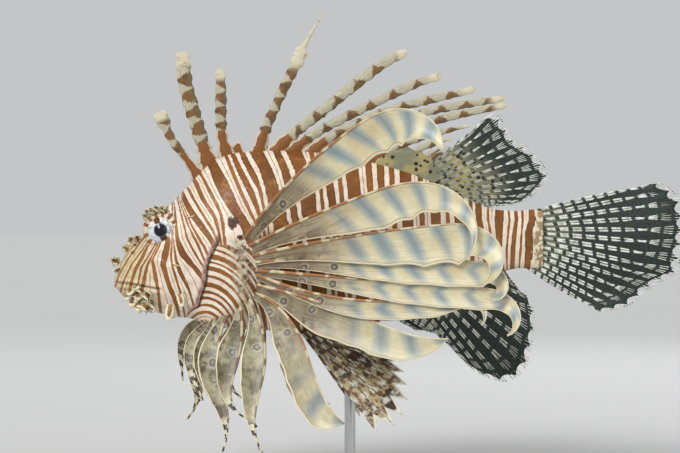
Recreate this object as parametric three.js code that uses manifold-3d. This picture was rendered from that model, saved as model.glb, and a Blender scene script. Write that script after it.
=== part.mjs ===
// Red lionfish, life size, on a plain display stand.
// Millimetres, +Z up. The fish looks along -X, its left flank faces -Y, the tail points along +X.
// The origin is the centre of the underside of the stand base.
import * as THREE from 'three';
import { mergeVertices } from 'three/addons/utils/BufferGeometryUtils.js';
import Module from 'manifold-3d';

const wasm = await Module();
wasm.setup();

const radians = THREE.MathUtils.degToRad;
const clamp = THREE.MathUtils.clamp;
const lerp = THREE.MathUtils.lerp;
const smoothstep = THREE.MathUtils.smoothstep;
const point = (x, y, z) => new THREE.Vector3(x, y, z);

// Colours and finishes
function finish(colour, roughness, metalness = 0) {
  return () => new THREE.MeshStandardMaterial({ color: colour, roughness, metalness });
}
const skin = finish('#a8795c', 0.55);
const spineSheath = finish('#9c6a4c', 0.55);
const softFin = finish('#8b8f80', 0.5);
const featherFin = finish('#c9b894', 0.5);
const pelvicSkin = finish('#6f4a30', 0.55);
const eyeShine = finish('#dfe0da', 0.15);
const standPaint = finish('#e9e7e2', 0.6);
const rodSteel = finish('#b9bcc0', 0.3, 1);

// Body outline
// One station per row: distance along the body, height of the back, height of the belly, half width.
const bodyStations = [
  [-129.5, 113.0, 109.5, 1.0],
  [-128.2, 116.0, 107.8, 5.0],
  [-126.5, 120.0, 105.6, 8.0],
  [-124.3, 125.5, 103.0, 10.5],
  [-121.0, 129.8, 100.8, 13.0],
  [-116.6, 132.0, 98.6, 15.0],
  [-112.2, 138.6, 96.8, 17.2],
  [-108.9, 145.2, 95.2, 18.8],
  [-104.5, 149.2, 94.0, 20.0],
  [-99.0, 153.4, 92.6, 21.2],
  [-93.5, 159.4, 91.8, 22.2],
  [-88.0, 165.0, 91.4, 23.2],
  [-82.5, 171.2, 90.4, 24.0],
  [-75.9, 177.0, 88.0, 25.0],
  [-66.0, 181.4, 86.3, 26.2],
  [-49.5, 183.2, 84.8, 26.8],
  [-27.5, 183.2, 83.6, 26.0],
  [-5.5, 180.6, 84.8, 23.6],
  [16.5, 176.0, 89.2, 20.0],
  [38.5, 169.4, 96.8, 16.0],
  [60.5, 158.6, 106.2, 11.6],
  [77.0, 151.8, 114.4, 8.6],
  [90.8, 150.2, 118.4, 6.6],
  [100.6, 151.0, 118.6, 5.2],
  [107.5, 150.0, 119.2, 3.2],
];
const headEnd = -83;
const trunkEnd = 66;
const bodyEnd = 106;

// Value of one column of a station list at distance x, as a smooth curve through the rows.
function along(stations, x, column) {
  let k = 0;
  while (k < stations.length - 2 && x > stations[k + 1][0]) k += 1;
  const before = stations[Math.max(k - 1, 0)];
  const from = stations[k];
  const to = stations[k + 1];
  const after = stations[Math.min(k + 2, stations.length - 1)];
  const span = to[0] - from[0];
  const t = clamp((x - from[0]) / span, 0, 1);
  const slopeFrom = ((to[column] - before[column]) / (to[0] - before[0])) * span;
  const slopeTo = ((after[column] - from[column]) / (after[0] - from[0])) * span;
  const t2 = t * t;
  const t3 = t2 * t;
  return (2 * t3 - 3 * t2 + 1) * from[column] + (t3 - 2 * t2 + t) * slopeFrom
    + (3 * t2 - 2 * t3) * to[column] + (t3 - t2) * slopeTo;
}

const bodySides = 20;
const backSharpness = 1.2;
const bellySharpness = 0.85;

// Point of the body surface at distance x and angle a, with 0 on the back and half a turn on the belly.
function skinPoint(x, a, grow = 0) {
  const top = along(bodyStations, x, 1);
  const bottom = along(bodyStations, x, 2);
  const half = along(bodyStations, x, 3);
  const sine = Math.sin(a);
  const power = Math.cos(a) > 0 ? backSharpness : bellySharpness;
  const y = -Math.sign(sine) * (Math.abs(sine) ** power) * (half + grow);
  const z = (top + bottom) / 2 + ((top - bottom) / 2 + grow) * Math.cos(a);
  return point(x, y, z);
}

// Half width of the body at distance x and height z.
function flankAt(x, z) {
  const top = along(bodyStations, x, 1);
  const bottom = along(bodyStations, x, 2);
  const cosine = clamp((2 * z - top - bottom) / (top - bottom), -1, 1);
  return Math.abs(skinPoint(x, Math.acos(cosine)).y);
}

// Solids
function geometryOf(vertices, triangles) {
  const geometry = new THREE.BufferGeometry();
  geometry.setAttribute('position', new THREE.Float32BufferAttribute(vertices.flatMap((v) => [v.x, v.y, v.z]), 3));
  geometry.setIndex(triangles);
  return geometry;
}

function solid(geometry) {
  const bare = geometry.clone();
  bare.deleteAttribute('normal');
  bare.deleteAttribute('uv');
  const merged = mergeVertices(bare, 1e-4);
  const made = new wasm.Manifold(new wasm.Mesh({
    numProp: 3,
    vertProperties: new Float32Array(merged.attributes.position.array),
    triVerts: new Uint32Array(merged.index.array),
  }));
  if (made.volume() < 0) throw new Error('a surface is inside out');
  return made;
}

// The largest closed surface of a solid.
function largest(whole) {
  const pieces = whole.decompose();
  return pieces.reduce((best, piece) => (piece.volume() > best.volume() ? piece : best));
}

function join(solids) {
  return solids.reduce((sum, next) => sum.add(next));
}

function meshOf(name, made, material) {
  const raw = made.getMesh();
  const geometry = new THREE.BufferGeometry();
  geometry.setAttribute('position', new THREE.BufferAttribute(new Float32Array(raw.vertProperties), 3));
  geometry.setIndex([...raw.triVerts]);
  geometry.computeVertexNormals();
  const mesh = new THREE.Mesh(geometry, material());
  mesh.name = name;
  return mesh;
}

// A closed skin over rings of points that all have the same count, with a fan at each end.
function ringLoft(rings) {
  const count = rings[0].length;
  const vertices = rings.flat();
  const triangles = [];
  for (let r = 0; r < rings.length - 1; r += 1) {
    for (let k = 0; k < count; k += 1) {
      const a = r * count + k;
      const b = r * count + ((k + 1) % count);
      const c = a + count;
      const d = b + count;
      triangles.push(a, c, b, b, c, d);
    }
  }
  const ends = [[0, true], [rings.length - 1, false]];
  ends.forEach(([r, first]) => {
    const middle = vertices.length;
    vertices.push(rings[r].reduce((sum, v) => sum.add(v), point(0, 0, 0)).divideScalar(count));
    for (let k = 0; k < count; k += 1) {
      const a = r * count + k;
      const b = r * count + ((k + 1) % count);
      triangles.push(...(first ? [middle, a, b] : [middle, b, a]));
    }
  });
  return upright(geometryOf(vertices, triangles));
}

// Turns a closed surface right side out.
function upright(geometry) {
  const p = geometry.attributes.position;
  const index = geometry.index.array;
  const corner = (k) => point(p.getX(index[k]), p.getY(index[k]), p.getZ(index[k]));
  let volume = 0;
  for (let k = 0; k < index.length; k += 3) {
    volume += corner(k).dot(corner(k + 1).cross(corner(k + 2)));
  }
  if (volume < 0) {
    const turned = [];
    for (let k = 0; k < index.length; k += 3) turned.push(index[k], index[k + 2], index[k + 1]);
    geometry.setIndex(turned);
  }
  return geometry;
}

// A thin plate. place(i, j) gives the middle point, half the thickness and the direction across it.
function plate(rows, columns, place) {
  const front = [];
  const back = [];
  for (let i = 0; i <= rows; i += 1) {
    for (let j = 0; j <= columns; j += 1) {
      const { at, across, half } = place(i, j);
      front.push(at.clone().addScaledVector(across, half));
      back.push(at.clone().addScaledVector(across, -half));
    }
  }
  const width = columns + 1;
  const offset = front.length;
  const triangles = [];
  for (let i = 0; i < rows; i += 1) {
    for (let j = 0; j < columns; j += 1) {
      const a = i * width + j;
      const b = a + 1;
      const c = a + width;
      const d = c + 1;
      triangles.push(a, b, c, b, d, c);
      triangles.push(a + offset, c + offset, b + offset, b + offset, c + offset, d + offset);
    }
  }
  const rim = [];
  for (let j = 0; j < columns; j += 1) rim.push(j);
  for (let i = 0; i < rows; i += 1) rim.push(i * width + columns);
  for (let j = columns; j > 0; j -= 1) rim.push(rows * width + j);
  for (let i = rows; i > 0; i -= 1) rim.push(i * width);
  rim.forEach((a, k) => {
    const b = rim[(k + 1) % rim.length];
    triangles.push(a, a + offset, b, b, a + offset, b + offset);
  });
  return upright(geometryOf([...front, ...back], triangles));
}

// A bar swept along points. size(k) gives its half width in the x-z plane and its half thickness.
function blade(points, size, sides = 4) {
  const sideways = point(0, 1, 0);
  const rings = points.map((p, k) => {
    const ahead = points[Math.min(k + 1, points.length - 1)];
    const behind = points[Math.max(k - 1, 0)];
    const tangent = ahead.clone().sub(behind).normalize();
    const wide = tangent.clone().cross(sideways).normalize();
    const thick = wide.clone().cross(tangent).normalize();
    const [halfWidth, halfThickness] = size(k / (points.length - 1));
    return Array.from({ length: sides }, (_, s) => {
      const a = (s / sides) * Math.PI * 2;
      return p.clone().addScaledVector(wide, Math.cos(a) * halfWidth).addScaledVector(thick, Math.sin(a) * halfThickness);
    });
  });
  return solid(ringLoft(rings));
}

function curveThrough(pairs, y = 0) {
  return new THREE.CatmullRomCurve3(pairs.map(([x, z]) => point(x, y, z)), false, 'centripetal');
}

// Body pieces
function bodyPiece(stops, grow = 0, sides = bodySides) {
  const rings = stops.map((x) => (
    Array.from({ length: sides }, (_, k) => skinPoint(x, (k / sides) * Math.PI * 2, grow))
  ));
  return solid(ringLoft(rings));
}

function spread(from, to, count) {
  return Array.from({ length: count + 1 }, (_, k) => lerp(from, to, k / count));
}

// Neighbours that touch keep this gap.
const seam = 0.3;
const headStops = [...bodyStations.map((row) => row[0]).filter((x) => x < headEnd), headEnd - seam / 2];
const trunk = bodyPiece(spread(headEnd + seam / 2, trunkEnd - seam / 2, 12));
const tailStalk = bodyPiece(spread(trunkEnd + seam / 2, bodyEnd, 4));
const bodyRoom = bodyPiece(spread(headEnd - seam / 2, bodyEnd + seam, 16), seam);

// Eyes
const eyeRadius = 9.4;
const eyePlace = { x: -102.4, y: 13.2, z: 139.6 };
const lidRadius = eyeRadius + 1.5;
const lidOpening = 8.3;

function ball(radius, x, y, z, across = 16, high = 10) {
  const geometry = new THREE.SphereGeometry(radius, across, high);
  geometry.rotateX(Math.PI / 2);
  geometry.translate(x, y, z);
  return solid(geometry);
}

function peg(radius, y0, y1, x, z, sides = 16) {
  const geometry = new THREE.CylinderGeometry(radius, radius, Math.abs(y1 - y0), sides);
  geometry.translate(x, (y0 + y1) / 2, z);
  return solid(geometry);
}

// Head
// Line of the mouth on the side of the head, from the lips back.
const mouthLine = [[-131, 111.2], [-122, 110.4], [-112, 108.9], [-104, 107.6], [-101.5, 106.6]];
const mouthGap = 0.8;
const mouthDepth = 2.6;

function ribbonCut(pairs, halfGap, reach) {
  const curve = curveThrough(pairs);
  return solid(plate(10, 1, (i, j) => ({
    at: curve.getPoint(i / 10).add(point(0, j === 0 ? -reach : reach, 0)),
    across: point(0, 0, 1),
    half: halfGap,
  })));
}

function headPiece() {
  let made = bodyPiece(headStops);
  const inner = solid(ringLoft(headStops.slice(2).map((x) => Array.from({ length: 16 }, (_, k) => (
    skinPoint(x, (k / 16) * Math.PI * 2, -mouthDepth)
  )))));
  made = made.subtract(ribbonCut(mouthLine, mouthGap / 2, 30).subtract(inner));
  const lipStops = spread(-128.4, -103, 8);
  [-1, 1].forEach((side) => {
    [2.0, -2.0].forEach((rise) => {
      const path = lipStops.map((x) => {
        const z = curveThrough(mouthLine).getPoint(clamp((x + 131) / 29.5, 0, 1)).z + rise;
        return point(x, side * Math.max(flankAt(x, z) - 0.5, 0.4), z);
      });
      made = made.add(blade(path, (t) => [lerp(1.5, 0.9, t), lerp(1.5, 0.9, t)], 5));
    });
    made = made.add(ball(lidRadius, eyePlace.x, side * eyePlace.y, eyePlace.z, 14, 8));
  });
  const sockets = [];
  [-1, 1].forEach((side) => {
    const socket = ball(eyeRadius + 0.3, eyePlace.x, side * eyePlace.y, eyePlace.z);
    const opening = peg(lidOpening, side * eyePlace.y, side * (eyePlace.y + 14), eyePlace.x, eyePlace.z);
    sockets.push(socket);
    made = made.subtract(opening);
    const nostril = ball(1.1, -118.5, side * flankAt(-118.5, 127.5), 127.5, 8, 6);
    made = made.subtract(nostril);
  });
  made = made.add(join([gillFlap(-1), gillFlap(1)]));
  made = made.add(join(browTentacles())).add(join(cheekFlaps())).add(join(cheekSpines()));
  return largest(made.subtract(join(sockets)));
}

// Gill cover: a flap raised over the front of the trunk.
const gillEdge = [[133.5, -71.5], [126, -75.2], [120.4, -77.4], [112, -78.2], [104, -81.0], [98.5, -82.7]];
function gillFlap(side) {
  const high = 134;
  const low = 98.5;
  const stops = [-93, -88, -83.6, -83, -80, 1];
  return solid(plate(5, 8, (i, j) => {
    const z = lerp(high, low, j / 8);
    const edge = curveThrough(gillEdge.map(([h, x]) => [x, h])).getPoint(j / 8).x;
    const x = i === 5 ? edge : lerp(stops[i], Math.min(stops[i], edge - 0.5), i / 5);
    const outer = [-0.6, 0.4, 1.1, 1.2, 1.5, 1.3][i];
    const inner = [-2, -1.8, -1.6, 0.45, 0.45, 0.45][i];
    const y = flankAt(x, z);
    return { at: point(x, side * (y + (outer + inner) / 2), z), across: point(0, 1, 0), half: (outer - inner) / 2 };
  }));
}

// Fringed tentacles over the eyes: flat leaves that stand up from the brow.
function browTentacles() {
  const leaves = [];
  [-1, 1].forEach((side) => {
    [[-110, 8, 128], [-106.5, 11, 104], [-102.5, 10, 82], [-98.5, 8, 58]].forEach(([x, length, angle]) => {
      const lean = radians(angle);
      const foot = point(x, side * (eyePlace.y + 3), 146.5);
      const path = spread(-0.35, 1, 2).map((t) => foot.clone().add(
        point(Math.cos(lean) * length * t, side * 2.5 * t, Math.sin(lean) * length * t),
      ));
      leaves.push(blade(path, (t) => [lerp(1.8, 0.5, t), lerp(0.9, 0.4, t)]));
    });
  });
  return leaves;
}

// Skin flaps on the snout, the jaw and the cheek.
const flapRoots = [
  { x: -119, z: 130, length: 7.5, angle: 118, width: 1.2 },
  { x: -126, z: 121, length: 6.5, angle: 140, width: 1.0 },
  { x: -119, z: 104, length: 6.0, angle: 245, width: 1.2 },
  { x: -115, z: 102, length: 9.0, angle: 262, width: 1.4 },
  { x: -110, z: 101, length: 10.0, angle: 280, width: 1.5 },
  { x: -98, z: 97, length: 10.0, angle: 262, width: 3.0 },
  { x: -93, z: 103, length: 8.5, angle: 290, width: 2.0 },
  { x: -88, z: 108, length: 7.0, angle: 322, width: 1.6 },
];
function cheekFlaps() {
  const flaps = [];
  [-1, 1].forEach((side) => {
    flapRoots.forEach(({ x, z, length, angle, width }) => {
      const lean = radians(angle);
      const foot = point(x, side * (flankAt(x, z) - 0.8), z);
      const path = spread(-0.1, 1, 2).map((t) => foot.clone().add(
        point(Math.cos(lean) * length * t, side * (1.0 + 3.5 * t), Math.sin(lean) * length * t),
      ));
      flaps.push(blade(path, (t) => [width * (1 - 0.75 * t ** 3), lerp(0.7, 0.35, t)]));
    });
  });
  return flaps;
}

// Short points on the cheek ridge and in front of the gill cover.
function cheekSpines() {
  const spines = [];
  [-1, 1].forEach((side) => {
    [[-96, 121, 350], [-90, 113, 335], [-90, 106, 320], [-88, 146, 20], [-94, 150, 25]].forEach(([x, z, angle]) => {
      const lean = radians(angle);
      const foot = point(x, side * (flankAt(x, z) - 0.9), z);
      const path = spread(-0.1, 1, 2).map((t) => foot.clone().add(
        point(Math.cos(lean) * 4.5 * t, side * 2.6 * t, Math.sin(lean) * 4.5 * t),
      ));
      spines.push(blade(path, (t) => [lerp(1.1, 0.25, t), lerp(1.0, 0.25, t)]));
    });
  });
  return spines;
}

// Dorsal spines
// Each spine: its path from the back to the tip, the half width of its sheath and how far that reaches.
const dorsalSpines = [
  { path: [[-83, 169], [-90.8, 179.8], [-97.9, 189.2], [-101.8, 197.4], [-105, 204.6]], wide: 2.4, club: 4.2 },
  { path: [[-75.9, 172], [-80.9, 186.4], [-84.2, 197.4], [-90.2, 218.9], [-92.4, 237.6]], wide: 4.0, club: 3.6 },
  { path: [[-67, 179], [-70.4, 191.9], [-71, 202.9], [-71, 213.9], [-71.5, 228.2]], wide: 3.0, club: 2.4 },
  { path: [[-51, 178], [-48.4, 189.2], [-39, 212.3], [-29.2, 232], [-25.9, 239.8], [-13.8, 260.6]], wide: 3.2, club: 0.4 },
  { path: [[-43, 179], [-35.8, 188.1], [-11, 208.4], [16.5, 229.9], [31.4, 238.1]], wide: 3.2, club: 2.5 },
  { path: [[-36, 179], [-22, 190.8], [5.5, 205.7], [38.5, 221], [50, 224.4]], wide: 2.8, club: 2.2 },
  { path: [[-25.3, 179], [-11, 190.3], [19.2, 204.6], [68.7, 217.2]], wide: 2.6, club: 2.0 },
  { path: [[-14, 178], [4, 190], [40, 204], [85, 212.2]], wide: 2.4, club: 1.9 },
  { path: [[-3, 177], [15, 188], [48, 200], [86, 208.4]], wide: 2.2, club: 1.7 },
  { path: [[8, 175], [24, 184.5], [46, 192.5], [66, 197]], wide: 2.0, club: 0.6 },
  { path: [[17, 173], [30, 180.5], [44, 186.5], [56, 190]], wide: 1.8, club: 0.6 },
  { path: [[24, 170.5], [34, 176.5], [45, 182], [53, 185]], wide: 1.6, club: 0.6 },
  { path: [[30, 167.5], [38, 174], [48, 181.5], [54, 186.5]], wide: 1.5, club: 0.6 },
];

function spinyDorsal() {
  const spines = dorsalSpines.map(({ path, wide, club }, k) => {
    const curve = curveThrough(path, (k % 2 ? 0.6 : -0.6));
    const points = spread(0, 1, 9).map((t) => curve.getPoint(t));
    const inner = wide * 0.75;
    return blade(points, (t) => [
      t < 0.8 ? lerp(wide * 0.8, wide, smoothstep(t, 0, 0.5)) : lerp(wide, club > inner ? club : 0.35, (t - 0.8) / 0.2),
      lerp(1.5, 0.5, t),
    ]);
  });
  const feet = dorsalSpines.map(({ path }) => path[0]);
  const web = solid(plate(2, 26, (i, j) => {
    const foot = curveThrough(feet).getPoint(j / 26);
    const height = 10 + 3 * Math.cos(j * Math.PI);
    return {
      at: foot.clone().add(point((i / 2) * height * 0.45, 0, (i / 2) * height - (i === 0 ? 4 : 0))),
      across: point(0, 1, 0),
      half: lerp(1.1, 0.3, i / 2),
    };
  }));
  return largest(join([web, ...spines]).subtract(bodyRoom).subtract(head));
}

// Fins with soft rays: a thin web with a ridge at every ray.
// root and rim are curves in the x-z plane, rays is the count, wave the sideways sway of the rim.
function rayFin({ root, rim, rays, rows, sink = 3, scallop = 2, wave = 0, ridge = 0.8, web = 0.32, lean = () => 0, skew = () => 0 }) {
  const rootCurve = curveThrough(root);
  const rimCurve = curveThrough(rim);
  const columns = (rays - 1) * 2;
  return solid(plate(rows, columns, (i, j) => {
    const v = j / columns;
    const onRay = j % 2 === 0;
    const foot = rootCurve.getPoint(v);
    const tip = rimCurve.getPoint(v);
    const direction = tip.clone().sub(foot);
    const length = direction.length();
    direction.normalize();
    const s = i / rows;
    const reach = i === 0 ? -sink : s * (length - (onRay ? 0 : scallop));
    const at = foot.clone().addScaledVector(direction, reach);
    at.y = lean(v, s) + wave * s * Math.sin(v * 7 + s * 3);
    at.add(skew(v, s) || point(0, 0, 0));
    return { at, across: point(0, 1, 0), half: onRay ? lerp(ridge, 0.35, s) : lerp(web + 0.15, web, s) };
  }));
}

function softDorsal() {
  const made = rayFin({
    root: [[25, 169.5], [44, 163.5], [69, 151.5]],
    rim: [[50, 180], [66, 192], [78.5, 203], [89.5, 189], [97.9, 183.5], [104.5, 176.5], [108.3, 168.3], [104.5, 163.3], [99, 157.8], [90.8, 154.2], [74, 151.8]],
    rays: 11,
    rows: 5,
    wave: 1.2,
  });
  return largest(made.subtract(bodyRoom).subtract(dorsal));
}

function analFin() {
  const made = rayFin({
    root: [[20, 95.5], [50, 103], [78, 118.4]],
    rim: [[36, 84.7], [49.5, 81.9], [55, 76.4], [63.3, 67.1], [71.5, 61], [85.3, 57.2], [94.6, 62.7], [99, 76.4], [100.7, 87.4], [99, 101.2], [93.5, 106.7], [85.3, 117.5]],
    rays: 10,
    rows: 5,
    wave: -1.0,
  });
  return largest(made.subtract(bodyRoom));
}

function tailFin() {
  const made = rayFin({
    root: [[105, 151], [107.5, 142], [107.5, 134], [104, 126], [98.5, 118.4]],
    rim: [[168.9, 165.5], [174.9, 161.7], [181, 154], [183, 143.5], [181, 128], [178.8, 116.6], [168.9, 111], [162.3, 106.7], [154, 99.5], [137.5, 94.6]],
    rays: 13,
    rows: 6,
    sink: 5,
    wave: 2.5,
  });
  return largest(made.subtract(bodyRoom));
}

function pelvicFin(side) {
  const forward = side > 0 ? -9 : 0;
  const made = rayFin({
    root: [[-17, 84.5], [-22, 84], [-27.5, 85]],
    rim: [[26, 70], [28.5, 63.8], [30, 57], [30.5, 49], [28, 40.5], [24, 34.5], [14.5, 31]],
    rays: 6,
    rows: 5,
    sink: 4,
    scallop: 4,
    ridge: 1.0,
    lean: (v, s) => side * (9 + 24 * s - 5 * v * s),
    skew: (v, s) => point(forward * s, 0, side > 0 ? 4 * s : 0),
  });
  return largest(made.subtract(bodyRoom));
}

// Pectoral fins
// Each ray: root on the flank, heading there, turn over its length, hook of the tip, where the hook
// starts, length, widest reach of its web, where that width is reached, where it starts to fall and,
// for a feather with a broad tip, how blunt that tip is.
const pectoralRays = [
  { root: [-58.2, 133.3], heading: 55, turn: -35, hook: -123, from: 0.58, length: 146, web: 21, rise: 0.65, fall: 0.66, blunt: 2.6 },
  { root: [-56.8, 130.0], heading: 27, turn: -15, hook: -132, from: 0.49, length: 152, web: 22, rise: 0.6, fall: 0.5, blunt: 1.5 },
  { root: [-54.6, 125.3], heading: 14, turn: -14, hook: -175, from: 0.64, length: 162, web: 22, rise: 0.65, fall: 0.66, blunt: 1.8 },
  { root: [-52.7, 122.3], heading: 5, turn: -12, hook: -216, from: 0.75, length: 156, web: 14, rise: 0.6, fall: 0.7, blunt: 2.0 },
  { root: [-51.2, 118.1], heading: -4, turn: 0, hook: -164, from: 0.74, length: 159, web: 12, rise: 0.6, fall: 0.7, blunt: 2.0 },
  { root: [-50.2, 115.7], heading: -22, turn: 42, hook: -164, from: 0.77, length: 134, web: 10, rise: 0.5, fall: 0.7, blunt: 1.4 },
  { root: [-50.2, 110.3], heading: -12, turn: -15, hook: 33, from: 0.63, length: 105, web: 17, rise: 0.4, fall: 0.68, blunt: 2.2 },
  { root: [-50.6, 106.0], heading: -24, turn: -100, hook: 89, from: 0.41, length: 85, web: 15, rise: 0.4, fall: 0.7, blunt: 5.0 },
  { root: [-54.1, 102.1], heading: -57, turn: -88, hook: 89, from: 0.49, length: 83, web: 13, rise: 0.4, fall: 0.45 },
  { root: [-59.3, 98.6], heading: -80, turn: -50, hook: 118, from: 0.53, length: 63, web: 12, rise: 0.4, fall: 0.45 },
  { root: [-66.4, 93.5], heading: -118, turn: 120, hook: -113, from: 0.21, length: 73, web: 12, rise: 0.35, fall: 0.4 },
  { root: [-72.7, 92.5], heading: -106, turn: 44, hook: 46, from: 0.81, length: 57, web: 9, rise: 0.35, fall: 0.4 },
  { root: [-75.0, 91.5], heading: -135, turn: 82, hook: -8, from: 0.69, length: 47, web: 6, rise: 0.35, fall: 0.4 },
];
const finFlare = 0.28;
const rayStagger = 1.6;
const rootDepth = 26;

function rayPath(ray, k, steps, change) {
  const heading = ray.heading + change.turn(k);
  const length = ray.length * change.scale;
  const points = [];
  const headings = [];
  let x = ray.root[0];
  let z = ray.root[1];
  const fine = 6;
  for (let i = 0; i <= steps * fine; i += 1) {
    const s = i / (steps * fine);
    const hooked = clamp((s - ray.from) / (1 - ray.from), 0, 1) ** 1.7;
    const angle = radians(heading + ray.turn * s + ray.hook * hooked);
    if (i % fine === 0) {
      const inward = k > 6 ? ((k - 6) / 6) ** 1.5 * 12 : 0;
      const depth = rootDepth - inward + finFlare * length * s + rayStagger * (12 - k) * Math.min(1, s / 0.3);
      points.push(point(x, -depth, z));
      headings.push(angle);
    }
    x += (Math.cos(angle) * length) / (steps * fine);
    z += (Math.sin(angle) * length) / (steps * fine);
  }
  return { points, headings };
}

// A web is never wider than its ray's bend allows; a blunt one stays wide nearly to its tip.
function webWidth(ray, s) {
  const grown = 0.25 + 0.75 * smoothstep(s, 0, ray.rise);
  const spent = clamp((s - ray.fall) / (1 - ray.fall), 0, 1);
  const shrunk = ray.blunt ? 1 - spent ** ray.blunt : 1 - smoothstep(s, ray.fall, 1);
  const hooked = clamp((s - ray.from) / (1 - ray.from), 0, 1);
  const bend = Math.abs(radians(ray.turn + (ray.hook * 1.7 * hooked ** 0.7) / (1 - ray.from)));
  return Math.max(1.4, Math.min(ray.web * grown * shrunk, (0.8 * ray.length) / bend));
}

function feather(ray, k, steps, change) {
  const { points, headings } = rayPath(ray, k, steps, change);
  return solid(plate(steps, 2, (i, j) => {
    const s = i / steps;
    const angle = headings[i];
    const down = point(Math.sin(angle), 0, -Math.cos(angle));
    const ahead = points[Math.min(i + 1, steps)].clone().sub(points[Math.max(i - 1, 0)]).normalize();
    const across = ahead.clone().cross(down).normalize();
    const width = i === steps ? 0.8 : webWidth(ray, s);
    const shaft = Math.min(1.6, width * 0.35);
    const reach = [-shaft * 0.6, shaft, width][j];
    const half = [lerp(0.9, 0.35, s), lerp(1.0, 0.35, s), 0.3][j];
    return { at: points[i].clone().addScaledVector(down, reach), across, half };
  }));
}

function pectoralFin(side) {
  const change = side < 0
    ? { turn: () => 0, scale: 1 }
    : { turn: (k) => (k > 9 ? -22 : -5), scale: 0.94 };
  const feathers = pectoralRays.map((ray, k) => feather(ray, k, 12, change));
  const lobePath = [0, 2, 4, 6, 8, 10, 12].map((k) => {
    const [x, z] = pectoralRays[k].root;
    return point(x - 3, -Math.max(flankAt(x - 3, z), rootDepth - (k > 6 ? ((k - 6) / 6) ** 1.5 * 12 : 0)) + 3.5, z);
  });
  const lobe = blade(lobePath, (t) => [lerp(6, 4, t), 4.6], 8);
  let made = join([lobe, ...feathers]);
  if (side > 0) made = made.mirror([0, 1, 0]);
  return largest(made.subtract(bodyRoom).subtract(head));
}

// Stand
const baseSize = { x: 200, y: 120, z: 8 };
const rodRadius = 3;
const rodPlace = 0;

const head = headPiece();
const dorsal = spinyDorsal();
const baseBox = new THREE.BoxGeometry(baseSize.x, baseSize.y, baseSize.z);
baseBox.translate(0, 0, baseSize.z / 2);
const rodTop = 95;
const rodShape = new THREE.CylinderGeometry(rodRadius, rodRadius, rodTop - baseSize.z, 20);
rodShape.rotateX(Math.PI / 2);
rodShape.translate(rodPlace, 0, (rodTop + baseSize.z) / 2);

const eyes = [-1, 1].map((side) => ball(eyeRadius, eyePlace.x, side * eyePlace.y, eyePlace.z));

const fish = new THREE.Group();
fish.name = 'red_lionfish';
fish.add(
  meshOf('head', head, skin),
  meshOf('trunk', trunk, skin),
  meshOf('tail_stalk', tailStalk, skin),
  meshOf('eye_left', eyes[0], eyeShine),
  meshOf('eye_right', eyes[1], eyeShine),
  meshOf('spiny_dorsal_fin', dorsal, spineSheath),
  meshOf('soft_dorsal_fin', softDorsal(), softFin),
  meshOf('tail_fin', tailFin(), softFin),
  meshOf('anal_fin', analFin(), softFin),
  meshOf('pelvic_fin_left', pelvicFin(-1), pelvicSkin),
  meshOf('pelvic_fin_right', pelvicFin(1), pelvicSkin),
  meshOf('pectoral_fin_left', pectoralFin(-1), featherFin),
  meshOf('pectoral_fin_right', pectoralFin(1), featherFin),
  meshOf('stand_base', solid(baseBox), standPaint),
  meshOf('stand_rod', solid(rodShape).subtract(bodyRoom), rodSteel),
);

export default fish;
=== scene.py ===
"""Red lionfish on a display stand: skin, eyes, fins, spines and stage, laid out as an add-on."""
import math

import bpy
import numpy as np
from bpy.props import FloatProperty, FloatVectorProperty, IntProperty, PointerProperty
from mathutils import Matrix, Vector


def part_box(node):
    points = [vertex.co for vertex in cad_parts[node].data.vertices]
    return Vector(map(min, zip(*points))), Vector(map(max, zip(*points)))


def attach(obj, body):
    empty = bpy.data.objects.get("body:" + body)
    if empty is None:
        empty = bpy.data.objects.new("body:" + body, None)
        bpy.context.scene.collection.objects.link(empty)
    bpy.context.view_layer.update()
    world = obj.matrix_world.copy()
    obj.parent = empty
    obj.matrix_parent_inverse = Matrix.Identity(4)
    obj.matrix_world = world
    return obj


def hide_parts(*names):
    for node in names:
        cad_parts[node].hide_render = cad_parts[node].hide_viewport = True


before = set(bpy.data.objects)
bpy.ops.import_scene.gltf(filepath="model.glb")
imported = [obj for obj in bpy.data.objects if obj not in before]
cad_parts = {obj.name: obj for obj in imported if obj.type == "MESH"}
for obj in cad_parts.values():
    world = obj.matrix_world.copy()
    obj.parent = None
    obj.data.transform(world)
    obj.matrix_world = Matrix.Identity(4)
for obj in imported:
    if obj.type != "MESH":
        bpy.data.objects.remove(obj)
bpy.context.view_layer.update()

bl_info = {
    "name": "Red lionfish",
    "version": (1, 0, 0),
    "blender": (4, 5, 0),
    "location": "View3D > Sidebar > Lionfish",
    "description": "Builds the skin, fins, spines and eyes of a life-size red lionfish",
    "category": "Object",
}

MM = 0.001
SIDEWAYS = np.array([0.0, 1.0, 0.0])
SIDES = ((-1, "left"), (1, "right"))

# The photograph's frame: one pixel in the fish's middle plane, and the camera's distance and aim
PHOTO_WIDTH = 680
PHOTO_HEIGHT = 453
PIXEL = 0.00055
CAMERA_DISTANCE = 1.2
CAMERA_X = -0.0055
CAMERA_Z = 0.1416
SENSOR = 36.0


def photo_place(x, y, z):
    """Pixel of the photograph that shows a point, or its mirror image on the near side."""
    k = PIXEL * (CAMERA_DISTANCE - np.abs(y)) / CAMERA_DISTANCE
    return PHOTO_WIDTH / 2 + (x - CAMERA_X) / k, PHOTO_HEIGHT / 2 - (z - CAMERA_Z) / k


# Sizes and colours that a user may change
def length(name, description, default):
    """A size that a user may change, in metres."""
    return FloatProperty(
        name=name, description=description, default=default, subtype="DISTANCE", unit="LENGTH",
    )


def colour(name, description, default):
    """A colour that a user may change."""
    return FloatVectorProperty(
        name=name, description=description, default=default, size=3, subtype="COLOR", min=0.0, max=1.0
    )


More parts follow.
